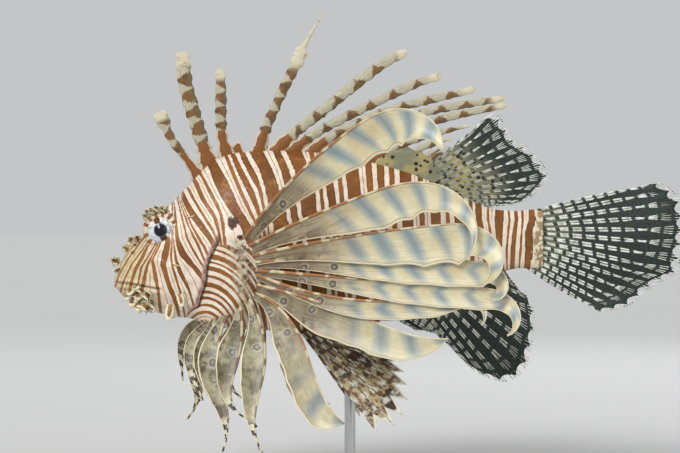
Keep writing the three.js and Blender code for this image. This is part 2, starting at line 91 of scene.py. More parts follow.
class LionfishSizes(bpy.types.PropertyGroup):
    """Sizes of the finer forms"""

    skin_rings: IntProperty(name="Skin rings", description="Rings of faces along the body", default=340)
    skin_sides: IntProperty(name="Skin sides", description="Faces round the body", default=240)
    eye_radius: length("Eye radius", "Radius of the eyeball", 0.0094)
    pupil_radius: length("Pupil radius", "Radius of the pupil", 0.0031)
    lid_opening: length("Lid opening", "Radius of the opening between the lids", 0.0082)
    lip_swell: length("Lip swell", "How far the lips stand out", 0.0010)
    gill_step: length("Gill step", "How far the gill cover stands off the flank", 0.0013)
    ray_radius: length("Ray radius", "Radius of one half of a soft ray", 0.00062)
    shaft_radius: length("Shaft radius", "Radius of a pectoral ray at its root", 0.0010)
    web_thickness: length("Web thickness", "Thickness of a fin web", 0.0004)
    base_bevel: length("Base bevel", "Rounding of the stand base's edges", 0.0015)


class LionfishColours(bpy.types.PropertyGroup):
    """Colours of the animal and its stand"""

    bar: colour("Bars", "Wide brown bars", (0.22, 0.080, 0.015))
    thin_bar: colour("Thin bars", "Thin bars between the white lines", (0.31, 0.125, 0.030))
    pale: colour("Pale lines", "Ground between the bars", (0.82, 0.73, 0.60))
    snout: colour("Snout", "Yellowish ground of the snout", (0.62, 0.53, 0.30))
    cream: colour("Cream", "Cream of the pectoral webs", (0.67, 0.615, 0.40))
    band: colour("Bands", "Blue-grey bands of the pectoral webs", (0.25, 0.32, 0.34))
    edge: colour("Leading edges", "Orange brown on the leading edges", (0.34, 0.155, 0.06))
    dash: colour("Dashes", "White dashes on the soft rays", (0.74, 0.76, 0.70))
    smoke: colour("Smoky web", "Dark clear web of the soft fins", (0.012, 0.018, 0.016))
    pelvic: colour("Pelvic web", "Brown of the pelvic fins", (0.13, 0.060, 0.025))


def sizes():
    """The sizes as they stand in the scene."""
    return bpy.context.scene.lionfish_sizes


def colours():
    """The colours as they stand in the scene."""
    return bpy.context.scene.lionfish_colours


# Curves, the same as the solids are made with
def through(points, t):
    """Smooth curve through points at t from 0 to 1, centripetal, for an array of t."""
    p = np.asarray(points, dtype=float)
    p = np.vstack([2 * p[0] - p[1], p, 2 * p[-1] - p[-2]])
    last = len(p) - 3
    at = np.clip(np.atleast_1d(t) * last, 0, last - 1e-9)
    k = at.astype(int)
    w = (at - k)[:, None]
    p0, p1, p2, p3 = p[k], p[k + 1], p[k + 2], p[k + 3]

    def gap(a, b):
        return np.maximum((((a - b) ** 2).sum(1)) ** 0.25, 1e-4)[:, None]

    d0, d1, d2 = gap(p0, p1), gap(p1, p2), gap(p2, p3)
    m1 = ((p1 - p0) / d0 - (p2 - p0) / (d0 + d1) + (p2 - p1) / d1) * d1
    m2 = ((p2 - p1) / d1 - (p3 - p1) / (d1 + d2) + (p3 - p2) / d2) * d1
    c2 = -3 * p1 + 3 * p2 - 2 * m1 - m2
    c3 = 2 * p1 - 2 * p2 + m1 + m2
    return p1 + m1 * w + c2 * w ** 2 + c3 * w ** 3


def xz_path(pairs, t):
    """Smooth curve through pairs of x and z in the fish's middle plane."""
    return through([(x, 0.0, z) for x, z in pairs], t)


def reach_along(path):
    """Length of a path from its start to each of its points."""
    steps = np.linalg.norm(np.diff(path, axis=0), axis=1)
    return np.concatenate([[0], np.cumsum(steps)])


def smooth(value, low, high):
    """Share from 0 at low to 1 at high, with soft ends."""
    t = np.clip((value - low) / (high - low), 0, 1)
    return t * t * (3 - 2 * t)


def bell(distance, reach, power=2):
    """1 in the middle, falling off round it over a reach."""
    return np.exp(-(distance / reach) ** power)


# Body outline in millimetres: distance along, back, belly, half width
STATIONS = np.array([
    [-129.5, 113.0, 109.5, 1.0],
    [-128.2, 116.0, 107.8, 5.0],
    [-126.5, 120.0, 105.6, 8.0],
    [-124.3, 125.5, 103.0, 10.5],
    [-121.0, 129.8, 100.8, 13.0],
    [-116.6, 132.0, 98.6, 15.0],
    [-112.2, 138.6, 96.8, 17.2],
    [-108.9, 145.2, 95.2, 18.8],
    [-104.5, 149.2, 94.0, 20.0],
    [-99.0, 153.4, 92.6, 21.2],
    [-93.5, 159.4, 91.8, 22.2],
    [-88.0, 165.0, 91.4, 23.2],
    [-82.5, 171.2, 90.4, 24.0],
    [-75.9, 177.0, 88.0, 25.0],
    [-66.0, 181.4, 86.3, 26.2],
    [-49.5, 183.2, 84.8, 26.8],
    [-27.5, 183.2, 83.6, 26.0],
    [-5.5, 180.6, 84.8, 23.6],
    [16.5, 176.0, 89.2, 20.0],
    [38.5, 169.4, 96.8, 16.0],
    [60.5, 158.6, 106.2, 11.6],
    [77.0, 151.8, 114.4, 8.6],
    [90.8, 150.2, 118.4, 6.6],
    [100.6, 151.0, 118.6, 5.2],
    [107.5, 150.0, 119.2, 3.2],
])
BODY_END = 106.0
BACK_SHARPNESS = 1.2
BELLY_SHARPNESS = 0.85


def along(x, column):
    """Value of a column of the stations at distances x, as a smooth curve through the rows."""
    rows = STATIONS
    k = np.clip(np.searchsorted(rows[:, 0], x, side="left") - 1, 0, len(rows) - 2)
    before, start, end, after = (rows[np.clip(k + d, 0, len(rows) - 1)] for d in (-1, 0, 1, 2))
    span = end[:, 0] - start[:, 0]
    t = np.clip((x - start[:, 0]) / span, 0, 1)
    m1 = (end[:, column] - before[:, column]) / (end[:, 0] - before[:, 0]) * span
    m2 = (after[:, column] - start[:, column]) / (after[:, 0] - start[:, 0]) * span
    return (
        (2 * t ** 3 - 3 * t ** 2 + 1) * start[:, column] + (t ** 3 - 2 * t ** 2 + t) * m1
        + (3 * t ** 2 - 2 * t ** 3) * end[:, column] + (t ** 3 - t ** 2) * m2
    )


def skin_points(x, a, grow):
    """Points of the body surface, in millimetres, at distances x and angles a from the back."""
    top, bottom, half = (along(x, c) for c in (1, 2, 3))
    sine = np.sin(a)
    power = np.where(np.cos(a) > 0, BACK_SHARPNESS, BELLY_SHARPNESS)
    y = -np.sign(sine) * np.abs(sine) ** power * (half + grow)
    z = (top + bottom) / 2 + ((top - bottom) / 2 + grow) * np.cos(a)
    return np.stack([x, y, z], axis=-1)


def flank(x, z):
    """Half width of the body at distances x and heights z."""
    x = np.atleast_1d(np.asarray(x, dtype=float))
    top, bottom = along(x, 1), along(x, 2)
    cosine = np.clip((2 * np.asarray(z) - top - bottom) / (top - bottom), -1, 1)
    return np.abs(skin_points(x, np.arccos(cosine), 0)[:, 1])


# Meshes
def grid_faces(rows, columns, offset=0, closed=False, flip=False):
    """Four-sided faces of a grid of points, whose rows may close on themselves."""
    width = columns if closed else columns + 1
    faces = []
    for i in range(rows):
        for j in range(columns):
            a = offset + i * width + j
            b = offset + i * width + (j + 1) % width
            quad = (a, b, b + width, a + width)
            faces.append(quad[::-1] if flip else quad)
    return faces


def tube_faces(rings, sides, flip=False):
    """Faces of a tube of rings of points, closed by a cap at each end."""
    first = tuple(range(sides))
    last = tuple(range((rings - 1) * sides, rings * sides))
    caps = [first, last[::-1]] if flip else [first[::-1], last]
    return grid_faces(rings - 1, sides, closed=True, flip=flip) + caps


def add_object(name, data):
    """An object of the scene that shows a mesh, lamp or camera."""
    item = bpy.data.objects.new(name, data)
    bpy.context.scene.collection.objects.link(item)
    return item


def set_values(mesh, values):
    """Float attributes on the points of a mesh."""
    for key, data in values.items():
        layer = mesh.attributes.new(key, "FLOAT", "POINT")
        layer.data.foreach_set("value", np.ascontiguousarray(data, dtype=np.float32).ravel())


def new_piece(name, points, faces=(), material=None, values=None, edges=(), smooth_shading=True):
    """A mesh object in metres, with float attributes on its points."""
    mesh = bpy.data.meshes.new(name)
    mesh.from_pydata(np.asarray(points).tolist(), edges, faces)
    set_values(mesh, values or {})
    if material:
        mesh.materials.append(material)
    mesh.polygons.foreach_set("use_smooth", [smooth_shading] * len(mesh.polygons))
    return add_object(name, mesh)


def dress(piece, slot, *nodes):
    """Sets a piece on the body and hides the nodes that it stands for. The slot is not used."""
    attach(piece, "root")
    if nodes:
        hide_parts(*nodes)


def plate(middle, across, half):
    """Points and faces of a thin closed plate round a grid of points, half as thick to each side."""
    rows, columns = middle.shape[0] - 1, middle.shape[1] - 1
    front = (middle + across * half[..., None]).reshape(-1, 3)
    back = (middle - across * half[..., None]).reshape(-1, 3)
    count = len(front)
    width = columns + 1
    faces = grid_faces(rows, columns) + grid_faces(rows, columns, count, flip=True)
    rim = list(range(columns))
    rim += [i * width + columns for i in range(rows)]
    rim += [rows * width + j for j in range(columns, 0, -1)]
    rim += [i * width for i in range(rows, 0, -1)]
    faces += [(b, a, a + count, b + count) for a, b in zip(rim, rim[1:] + rim[:1])]
    return np.vstack([front, back]), faces


class Heap:
    """Collects plates and bars in millimetres, so that many make one piece."""

    def __init__(self):
        self.points = []
        self.faces = []
        self.values = {}
        self.count = 0

    def add(self, points, faces, **values):
        """Adds a form. Each value is one number, or one for each point."""
        self.points.append(points)
        self.faces += [tuple(v + self.count for v in face) for face in faces]
        for key, value in values.items():
            spread = np.broadcast_to(np.ravel(value), len(points))
            self.values.setdefault(key, []).append(spread)
        self.count += len(points)

    def add_plate(self, middle, normal, half, **values):
        """Adds a plate. Its half thickness and each value spread over its grid."""
        shape = middle.shape[:2]
        points, faces = plate(middle, normal, np.broadcast_to(half, shape))
        spread = {key: np.tile(np.broadcast_to(v, shape).ravel(), 2) for key, v in values.items()}
        self.add(points, faces, **spread)

    def piece(self, name, material):
        values = {key: np.concatenate(store) for key, store in self.values.items()}
        return new_piece(name, np.vstack(self.points) * MM, self.faces, material, values)


def unit(vectors):
    """Vectors brought to a length of one."""
    return vectors / np.maximum(np.linalg.norm(vectors, axis=-1, keepdims=True), 1e-9)


def sweep(path, half_width, half_depth, sides):
    """A closed bar along a path: its width lies in the x-z plane and its depth across it."""
    tangent = unit(np.gradient(path, axis=0))
    wide = unit(np.cross(tangent, SIDEWAYS))
    deep = unit(np.cross(wide, tangent))
    turn = np.arange(sides) / sides * 2 * np.pi
    ring = (
        wide[:, None, :] * (np.cos(turn) * half_width[:, None])[..., None]
        + deep[:, None, :] * (np.sin(turn) * half_depth[:, None])[..., None]
    )
    points = (path[:, None, :] + ring).reshape(-1, 3)
    across = np.tile(np.cos(turn), (len(path), 1))
    return points, tube_faces(len(path), sides), across


# Geometry Nodes
class Tree:
    """Short names for the nodes of one Geometry Nodes tree."""

    def __init__(self, name, **inputs):
        self.tree = bpy.data.node_groups.new(name, "GeometryNodeTree")
        new_socket = self.tree.interface.new_socket
        for label, kind in {"Geometry": "Geometry", **inputs}.items():
            new_socket(label, in_out="INPUT", socket_type="NodeSocket" + kind)
        new_socket("Geometry", in_out="OUTPUT", socket_type="NodeSocketGeometry")
        self.given = self.tree.nodes.new("NodeGroupInput").outputs

    def node(self, kind, fed, output=0, **settings):
        """Adds a node, fills the inputs that are fed by name and gives one of its outputs."""
        node = self.tree.nodes.new(kind)
        for key, value in settings.items():
            setattr(node, key, value)
        for label, value in fed.items():
            if isinstance(value, bpy.types.NodeSocket):
                self.tree.links.new(value, node.inputs[label])
            else:
                node.inputs[label].default_value = value
        return node.outputs[output]

    def scaled(self, name, size):
        """A float attribute of the points, times a size."""
        own = self.node("GeometryNodeInputNamedAttribute", {"Name": name}, data_type="FLOAT")
        return self.node("ShaderNodeMath", {0: own, 1: size}, operation="MULTIPLY")

    def finish(self, geometry):
        """Makes the result real, paints it and ends the tree."""
        real = self.node("GeometryNodeRealizeInstances", {"Geometry": geometry})
        painted = self.node("GeometryNodeSetMaterial", {"Geometry": real, "Material": self.given["Finish"]})
        self.tree.links.new(painted, self.tree.nodes.new("NodeGroupOutput").inputs[0])
        return self.tree


def made_plain(name, source, tree, **inputs):
    """Runs a tree on an object and keeps the result as a plain mesh."""
    modifier = source.modifiers.new("build", "NODES")
    modifier.node_group = tree
    for item in tree.interface.items_tree:
        if item.name in inputs:
            modifier[item.identifier] = inputs[item.name]
    depsgraph = bpy.context.evaluated_depsgraph_get()
    mesh = bpy.data.meshes.new_from_object(source.evaluated_get(depsgraph), depsgraph=depsgraph)
    mesh.name = name
    bpy.data.objects.remove(source)
    return add_object(name, mesh)


def rod_tree():
    """Turns lines with a radius attribute into tapered rods."""
    t = Tree("Tapered rods", Sides="Int", Thickness="Float", Finish="Material")
    curve = t.node("GeometryNodeMeshToCurve", {"Mesh": t.given["Geometry"]})
    radius = t.scaled("radius", t.given["Thickness"])
    thick = t.node("GeometryNodeSetCurveRadius", {"Curve": curve, "Radius": radius})
    ring = t.node("GeometryNodeCurvePrimitiveCircle", {"Resolution": t.given["Sides"], "Radius": 1.0})
    rod = t.node("GeometryNodeCurveToMesh", {
        "Curve": thick,
        "Profile Curve": ring,
        "Scale": t.node("GeometryNodeInputRadius", {}),
        "Fill Caps": True,
    })
    return t.finish(t.node("GeometryNodeSetShadeSmooth", {"Geometry": rod}))


def leaf_tree(leaf):
    """Sets a leaf on every point, along the point's out direction and at its size."""
    t = Tree("Skin fringe", Size="Float", Seed="Int", Finish="Material")
    points = t.node("GeometryNodeMeshToPoints", {"Mesh": t.given["Geometry"]})
    limits = {"Min": -0.5, "Max": 0.5, "Seed": t.given["Seed"]}
    turn = t.node("FunctionNodeRandomValue", limits, "Value", data_type="FLOAT")
    spin = t.node("FunctionNodeAxisAngleToRotation", {"Angle": turn})
    out = t.node("GeometryNodeInputNamedAttribute", {"Name": "out"}, data_type="FLOAT_VECTOR")
    aim = t.node("FunctionNodeAlignRotationToVector", {"Rotation": spin, "Vector": out}, axis="Z")
    return t.finish(t.node("GeometryNodeInstanceOnPoints", {
        "Points": points,
        "Instance": t.node("GeometryNodeObjectInfo", {"Object": leaf}, "Geometry"),
        "Rotation": aim,
        "Scale": t.scaled("size", t.given["Size"]),
    }))


def rods(name, paths, radii, material, sides=8, **values):
    """Many tapered rods as one piece. paths are arrays in millimetres, radii one array for each."""
    ends = set(np.cumsum([len(path) for path in paths]).tolist())
    edges = [(k, k + 1) for k in range(max(ends)) if k + 1 not in ends]
    data = {key: np.concatenate(store) for key, store in values.items()}
    data["radius"] = np.concatenate(radii) * MM
    source = new_piece(name + "_lines", np.vstack(paths) * MM, values=data, edges=edges)
    tree = bpy.data.node_groups.get("Tapered rods") or rod_tree()
    return made_plain(name, source, tree, Sides=sides, Thickness=1.0, Finish=material)


# Materials
class Wire:
    """A number or colour that runs through a material, for plain sums and products."""

    def __init__(self, shader, socket):
        self.shader = shader
        self.socket = socket

    def __add__(self, other):
        return self.shader.math("ADD", self, other)

    def __sub__(self, other):
        return self.shader.math("SUBTRACT", self, other)

    def __rsub__(self, other):
        return self.shader.math("SUBTRACT", other, self)

    def __mul__(self, other):
        return self.shader.math("MULTIPLY", self, other)

    def __truediv__(self, other):
        return self.shader.math("DIVIDE", self, other)


class Shader:
    """Short names for the nodes of one material."""

    def __init__(self, name, roughness, specular):
        self.material = bpy.data.materials.new(name)
        self.material.use_nodes = True
        self.tree = self.material.node_tree
        self.body = self.tree.nodes["Principled BSDF"]
        self.set_body(("Roughness", roughness), ("Specular IOR Level", specular))

    def set_body(self, *settings):
        for label, value in settings:
            self.body.inputs[label].default_value = value

    def coat(self, weight, roughness):
        self.set_body(("Coat Weight", weight), ("Coat Roughness", roughness))

    def flesh(self, weight, radius):
        self.set_body(("Subsurface Weight", weight), ("Subsurface Radius", radius))

    def node(self, kind, **settings):
        made = self.tree.nodes.new(kind)
        for key, value in settings.items():
            setattr(made, key, value)
        return made

    def feed(self, socket, value):
        if isinstance(value, Wire):
            self.tree.links.new(value.socket, socket)
        elif hasattr(value, "__len__"):
            socket.default_value = (*value, 1.0) if len(socket.default_value) == 4 else tuple(value)
        else:
            socket.default_value = value

    def made(self, node, output, *fed, **fixed):
        """Fills a node's inputs, in order or by name, and gives one of its outputs."""
        for socket, value in zip(node.inputs, fed):
            self.feed(socket, value)
        for label, value in fixed.items():
            self.feed(node.inputs[label.replace("_", " ")], value)
        return Wire(self, node.outputs[output])

    def value(self, name):
        return self.made(self.node("ShaderNodeAttribute", attribute_name=name), "Fac")

    def object_place(self):
        return self.made(self.node("ShaderNodeTexCoord"), "Object")

    def moved_place(self, **settings):
        """Object coordinates moved or scaled by a Mapping node."""
        return self.made(self.node("ShaderNodeMapping"), 0, self.object_place(), **settings)

    def math(self, operation, a, b=0.0):
        return self.made(self.node("ShaderNodeMath", operation=operation), 0, a, b)

    def distance(self, a, b):
        return self.math("SQRT", self.math("POWER", a, 2.0) + self.math("POWER", b, 2.0))

    def step(self, value, low, high):
        node = self.node("ShaderNodeMapRange", interpolation_type="SMOOTHSTEP")
        return self.made(node, "Result", value, From_Min=low, From_Max=high)

    def mix(self, amount, a, b):
        node = self.node("ShaderNodeMix", data_type="RGBA")
        self.feed(node.inputs[6], a)
        self.feed(node.inputs[7], b)
        return self.made(node, 2, amount)

    def noise(self, scale, detail, roughness=0.5, vector=None):
        node = self.node("ShaderNodeTexNoise")
        place = vector or self.object_place()
        return self.made(node, "Fac", place, Scale=scale, Detail=detail, Roughness=roughness)

    def wander(self, reach, *noise):
        """Noise about zero, as wide as reach."""
        return (self.noise(*noise) - 0.5) * reach

    def patches(self, low, high, *noise):
        """Noise with a soft edge between low and high."""
        return self.step(self.noise(*noise), low, high)

    def cells(self, scale):
        return self.made(self.node("ShaderNodeTexVoronoi"), "Distance", self.object_place(), Scale=scale)

    def join(self, x, y, z=0.0):
        return self.made(self.node("ShaderNodeCombineXYZ"), 0, x, y, z)

    def colour(self, value):
        self.feed(self.body.inputs["Base Color"], value)

    def rough(self, value):
        self.feed(self.body.inputs["Roughness"], value)

    def bump(self, height, strength, distance):
        node = self.node("ShaderNodeBump")
        normal = self.made(node, 0, Height=height, Strength=strength, Distance=distance)
        self.feed(self.body.inputs["Normal"], normal)


# The colours of each finish stand above its function, besides those that a user may change. A pair is the
# two tones that a finish varies between. FLESH_DEPTH is how far red, green and blue light goes in, in metres
FLESH_DEPTH = (0.004, 0.002, 0.001)
OCHRE = (0.46, 0.2, 0.035)
UMBER = (0.11, 0.035, 0.01)
BAR_RIM = (0.07, 0.02, 0.006)
BLUSH = (0.56, 0.38, 0.30)
GAP_LINE = (0.36, 0.17, 0.055)
FRAYED_MARGIN = ((0.72, 0.66, 0.48), (0.34, 0.24, 0.12))
FRECKLE = (0.24, 0.17, 0.07)
LOBE_TONES = ((0.50, 0.44, 0.30), (0.07, 0.035, 0.016))
GILL_TONES = ((0.46, 0.30, 0.26), (0.24, 0.12, 0.09))
# Painted shade for the gill slit, the slit of the mouth and the nostril's hollow
SEAM_SHADE = (0.075, 0.030, 0.012)
BLOTCH_BROWN = (0.070, 0.024, 0.008)


def skin_material():
    """Brown bars on a pale ground, from the bar attributes, with fine scales."""
    c = colours()
    s = Shader("banded skin", 0.42, 0.26)
    s.flesh(0.05, FLESH_DEPTH)
    s.coat(0.05, 0.3)
    wobble = s.wander(0.9, 260, 3)

    def from_edges(name):
        """How far a point lies inside a brown bar, and from the middle of a pale gap, in millimetres."""
        wave = s.math("PINGPONG", s.value(name) - 0.5, 1.0)
        pace = s.value(name + "_pace")
        inside = (wave - 0.5) / pace
        return inside + wobble, wave / pace

    def either(body, breast):
        """The body's or the breast's value, whichever holds at a point."""
        node = s.node("ShaderNodeMix", data_type="FLOAT")
        s.feed(node.inputs[2], body)
        s.feed(node.inputs[3], breast)
        return s.made(node, 0, s.math("GREATER_THAN", s.value("breast"), 0.5))

    body_inside, body_middle = from_edges("bars")
    breast_inside, breast_middle = from_edges("breast_bars")
    inside = either(body_inside, breast_inside)
    middle = either(body_middle, breast_middle) + wobble * 0.8
    wide = s.step(s.value("bar_width"), 3.0, 9.0)
    brown = s.mix(wide, c.thin_bar, c.bar)
    warm = s.patches(0.5, 0.72, 170, 5, 0.65) * wide
    brown = s.mix(warm * 0.7, brown, OCHRE)
    brown = s.mix(s.patches(0.42, 0.68, 60, 3) * 0.5, brown, UMBER)
    rim = s.step(inside, 1.0, 0.2) * wide
    brown = s.mix(rim * 0.6, brown, BAR_RIM)
    ground = s.mix(s.value("snout"), c.pale, c.snout)
    blush = s.patches(0.38, 0.7, 230, 3) * 0.45
    ground = s.mix(blush, ground, BLUSH)
    gap = s.step(either(s.value("bars_pace"), s.value("breast_bars_pace")), 0.42, 0.3)
    line = s.step(middle, 0.42, 0.16) * (gap * 0.75)
    ground = s.mix(line, ground, GAP_LINE)
    skin = s.mix(s.step(inside, -0.14, 0.14), ground, brown)
    speckle = s.noise(420, 4, 0.7) - 0.5
    margin = s.step(s.value("margin") + speckle * 5.0, 0.2, 0.7)
    frayed = s.mix(s.step(s.cells(420), 0.30, 0.55), *FRAYED_MARGIN)
    skin = s.mix(margin, skin, frayed)
    freckle = s.step(speckle, 0.0, 0.12) * s.value("snout")
    skin = s.mix(freckle * 0.55, skin, FRECKLE)
    patches = s.mix(s.patches(0.45, 0.56, 330, 4, 0.7), *LOBE_TONES)
    skin = s.mix(s.value("lobe") * 0.8, skin, patches)
    cover = s.mix(s.patches(0.4, 0.6, 300, 3), *GILL_TONES)
    skin = s.mix(s.value("gill"), skin, cover)
    # Painted shade in the gill slit, the slit of the mouth and the hollow of the nostril
    skin = s.mix(s.value("seam"), skin, SEAM_SHADE)
    uneven = s.value("blotch") + speckle * 2.6
    skin = s.mix(s.step(uneven, 1.25, 0.75), skin, BLOTCH_BROWN)
    s.colour(skin)
    scales = s.cells(520)
    s.bump(scales + s.noise(900, 2) * 0.4, 0.25, 0.0006)
    s.rough(s.step(s.noise(300, 2) + 0.35, 0.2, 1.6))
    return s.material


IRIS_SILVER = ((0.86, 0.87, 0.83), (0.46, 0.48, 0.46))
IRIS_BLUE = (0.50, 0.57, 0.70)
IRIS_SPECK = (0.03, 0.03, 0.04)
STREAK_BELOW = (0.09, 0.028, 0.010)
STREAK_ABOVE = (0.12, 0.045, 0.015)
PUPIL_RING = (0.10, 0.10, 0.12)
PUPIL = (0.003, 0.004, 0.012)


def eye_material(side):
    """Black pupil, silvery iris with dark specks and the brown streak through it."""
    s = Shader("eye " + side, 0.10, 0.3)
    s.coat(0.3, 0.02)
    parts = s.node("ShaderNodeSeparateXYZ")
    x = s.made(parts, "X", s.moved_place(Location=(-EYE[0] * MM, 0.0, -EYE[2] * MM)))
    z = s.made(parts, "Z")
    from_centre = s.distance(x, z)
    iris = s.mix(s.patches(0.45, 0.60, 500, 4, 0.7), *IRIS_SILVER)
    bluish = s.step(x + z, -0.001, -0.007) * 0.6
    iris = s.mix(bluish, iris, IRIS_BLUE)
    specks = s.step(s.cells(750), 0.34, 0.24) * s.patches(0.44, 0.52, 300, 2)
    iris = s.mix(specks, iris, IRIS_SPECK)
    wander = s.wander(0.002, 400, 2)
    streak = s.math("ABSOLUTE", x + z * 0.42 + wander)
    below = s.step(streak, 0.0021, 0.0014) * s.step(z, -0.0022, -0.003)
    iris = s.mix(below, iris, STREAK_BELOW)
    above = s.step(streak, 0.0022, 0.0014) * s.step(z, 0.0028, 0.0036)
    iris = s.mix(above, iris, STREAK_ABOVE)
    pupil = sizes().pupil_radius
    iris = s.mix(s.step(from_centre, pupil + 0.0008, pupil + 0.0004), iris, PUPIL_RING)
    iris = s.mix(s.step(from_centre, pupil + 0.0002, pupil), iris, PUPIL)
    s.colour(iris)
    return s.material


SHEATH_BROWN = ((0.20, 0.095, 0.026), (0.10, 0.053, 0.016))
SHEATH_BACK = (0.16, 0.115, 0.055)
BEAD_CREAM = ((0.52, 0.48, 0.34), (0.33, 0.31, 0.23))
FOOT_EDGE = (0.60, 0.52, 0.40)
SHEATH_TIP = ((0.62, 0.57, 0.41), (0.38, 0.30, 0.17))


def spine_material():
    """Sheath of a dorsal spine: pale beads on its front, brown behind, plain pale tip."""
    c = colours()
    s = Shader("spine sheath", 0.5, 0.35)
    s.flesh(0.05, FLESH_DEPTH)
    wobble = s.wander(0.75, 170, 3)
    along = s.value("along") + wobble
    across = s.value("across")
    place = s.join(s.value("along") * 0.8, across * 2.5)
    fibre = s.noise(3.0, 4, 0.6, place)
    wave = s.math("PINGPONG", along, 0.5) - s.value("pale")
    lit = across * 0.55 + wave * 3.4 + (fibre - 0.5) * 1.3
    brown = s.mix(s.patches(0.4, 0.7, 300, 3), *SHEATH_BROWN)
    brown = s.mix(s.step(across, -0.2, -0.8), brown, SHEATH_BACK)
    cream = s.mix(s.step(fibre, 0.4, 0.64), *BEAD_CREAM)
    banded = s.mix(s.step(lit, -0.12, 0.16), brown, cream)
    low = s.mix(s.step(s.math("ABSOLUTE", across), 0.64, 0.78), c.bar, FOOT_EDGE)
    skin = s.mix(s.step(s.value("low"), 0.35, 0.65), banded, low)
    tip = s.mix(s.patches(0.56, 0.70, 260, 3, 0.6), *SHEATH_TIP)
    skin = s.mix(s.value("tip"), skin, tip)
    s.colour(skin)
    s.bump(s.noise(500, 4) + fibre, 0.3, 0.0008)
    return s.material


DASH_GREY = (0.42, 0.45, 0.38)
RAY_ROOT = (0.26, 0.26, 0.18)


def ray_material(name, dash_share, gap):
    """Soft rays with pale dashes and dark gaps."""
    c = colours()
    s = Shader(name, 0.4, 0.4)
    wobble = s.wander(0.16, 160, 2)
    wave = s.math("FRACT", s.value("along") + wobble)
    dash = s.step(wave, 0.0, 0.06) * s.step(wave, dash_share + 0.06, dash_share)
    white = s.mix(s.patches(0.4, 0.62, 350, 3), c.dash, DASH_GREY)
    white = s.mix(s.value("root"), white, RAY_ROOT)
    s.colour(s.mix(dash, gap, white))
    s.bump(s.noise(900, 2), 0.2, 0.0003)
    return s.material


WEB_LINE = (0.050, 0.068, 0.055)
SPOTTED_FOOT = (0.21, 0.21, 0.135)
PLAIN_FOOT = (0.14, 0.14, 0.09)
GOLDEN = (0.35, 0.30, 0.13)
WEB_SPOT = (0.020, 0.016, 0.010)


def smoky_material(name, spotted):
    """Dark web with faint lines between the rays, olive near the root, where it may be spotted."""
    c = colours()
    s = Shader(name, 0.45, 0.25)
    place = s.join(s.value("along") * 0.25, s.value("across") * 3.0)
    line = s.patches(0.40, 0.72, 4.0, 3, 0.6, place)
    tone = s.mix(line, c.smoke, WEB_LINE)
    near = s.value("root") * s.patches(0.2, 0.42, 110, 3)
    tone = s.mix(near, tone, SPOTTED_FOOT if spotted else PLAIN_FOOT)
    if spotted:
        golden = s.patches(0.45, 0.6, 90, 2) * s.step(s.value("root"), 0.6, 1.0)
        tone = s.mix(golden, tone, GOLDEN)
        ragged = s.cells(260) + s.noise(420, 2) * 0.35
        spots = s.step(ragged, 0.5, 0.42) * s.step(s.value("root"), 0.02, 0.3)
        tone = s.mix(spots, tone, WEB_SPOT)
    s.colour(tone)
    s.bump(line, 0.2, 0.0003)
    return s.material


WEB_FLESH_DEPTH = (0.003, 0.002, 0.001)
SAND = (0.58, 0.49, 0.28)
SAND_STREAK = (0.38, 0.34, 0.2)
BAND_CORE = (0.13, 0.19, 0.24)
TAUPE = ((0.36, 0.28, 0.17), (0.20, 0.14, 0.08))
TAUPE_STREAK = (0.13, 0.085, 0.045)
DUSK = ((0.13, 0.085, 0.05), (0.05, 0.03, 0.018))
OLIVE = ((0.36, 0.33, 0.20), (0.13, 0.11, 0.055))
SPOT_HALO = (0.50, 0.45, 0.30)
SPOT_RING = (0.05, 0.032, 0.022)
SPOT_MIDDLE = (0.26, 0.25, 0.23)
MOTTLE = (0.065, 0.038, 0.018)
THREAD = ((0.62, 0.58, 0.38), (0.045, 0.030, 0.016))
EDGE_LINE = (0.3, 0.17, 0.06)
# Painted highlight along the rims of the feathers
RIM_HIGHLIGHT = (0.84, 0.79, 0.56)


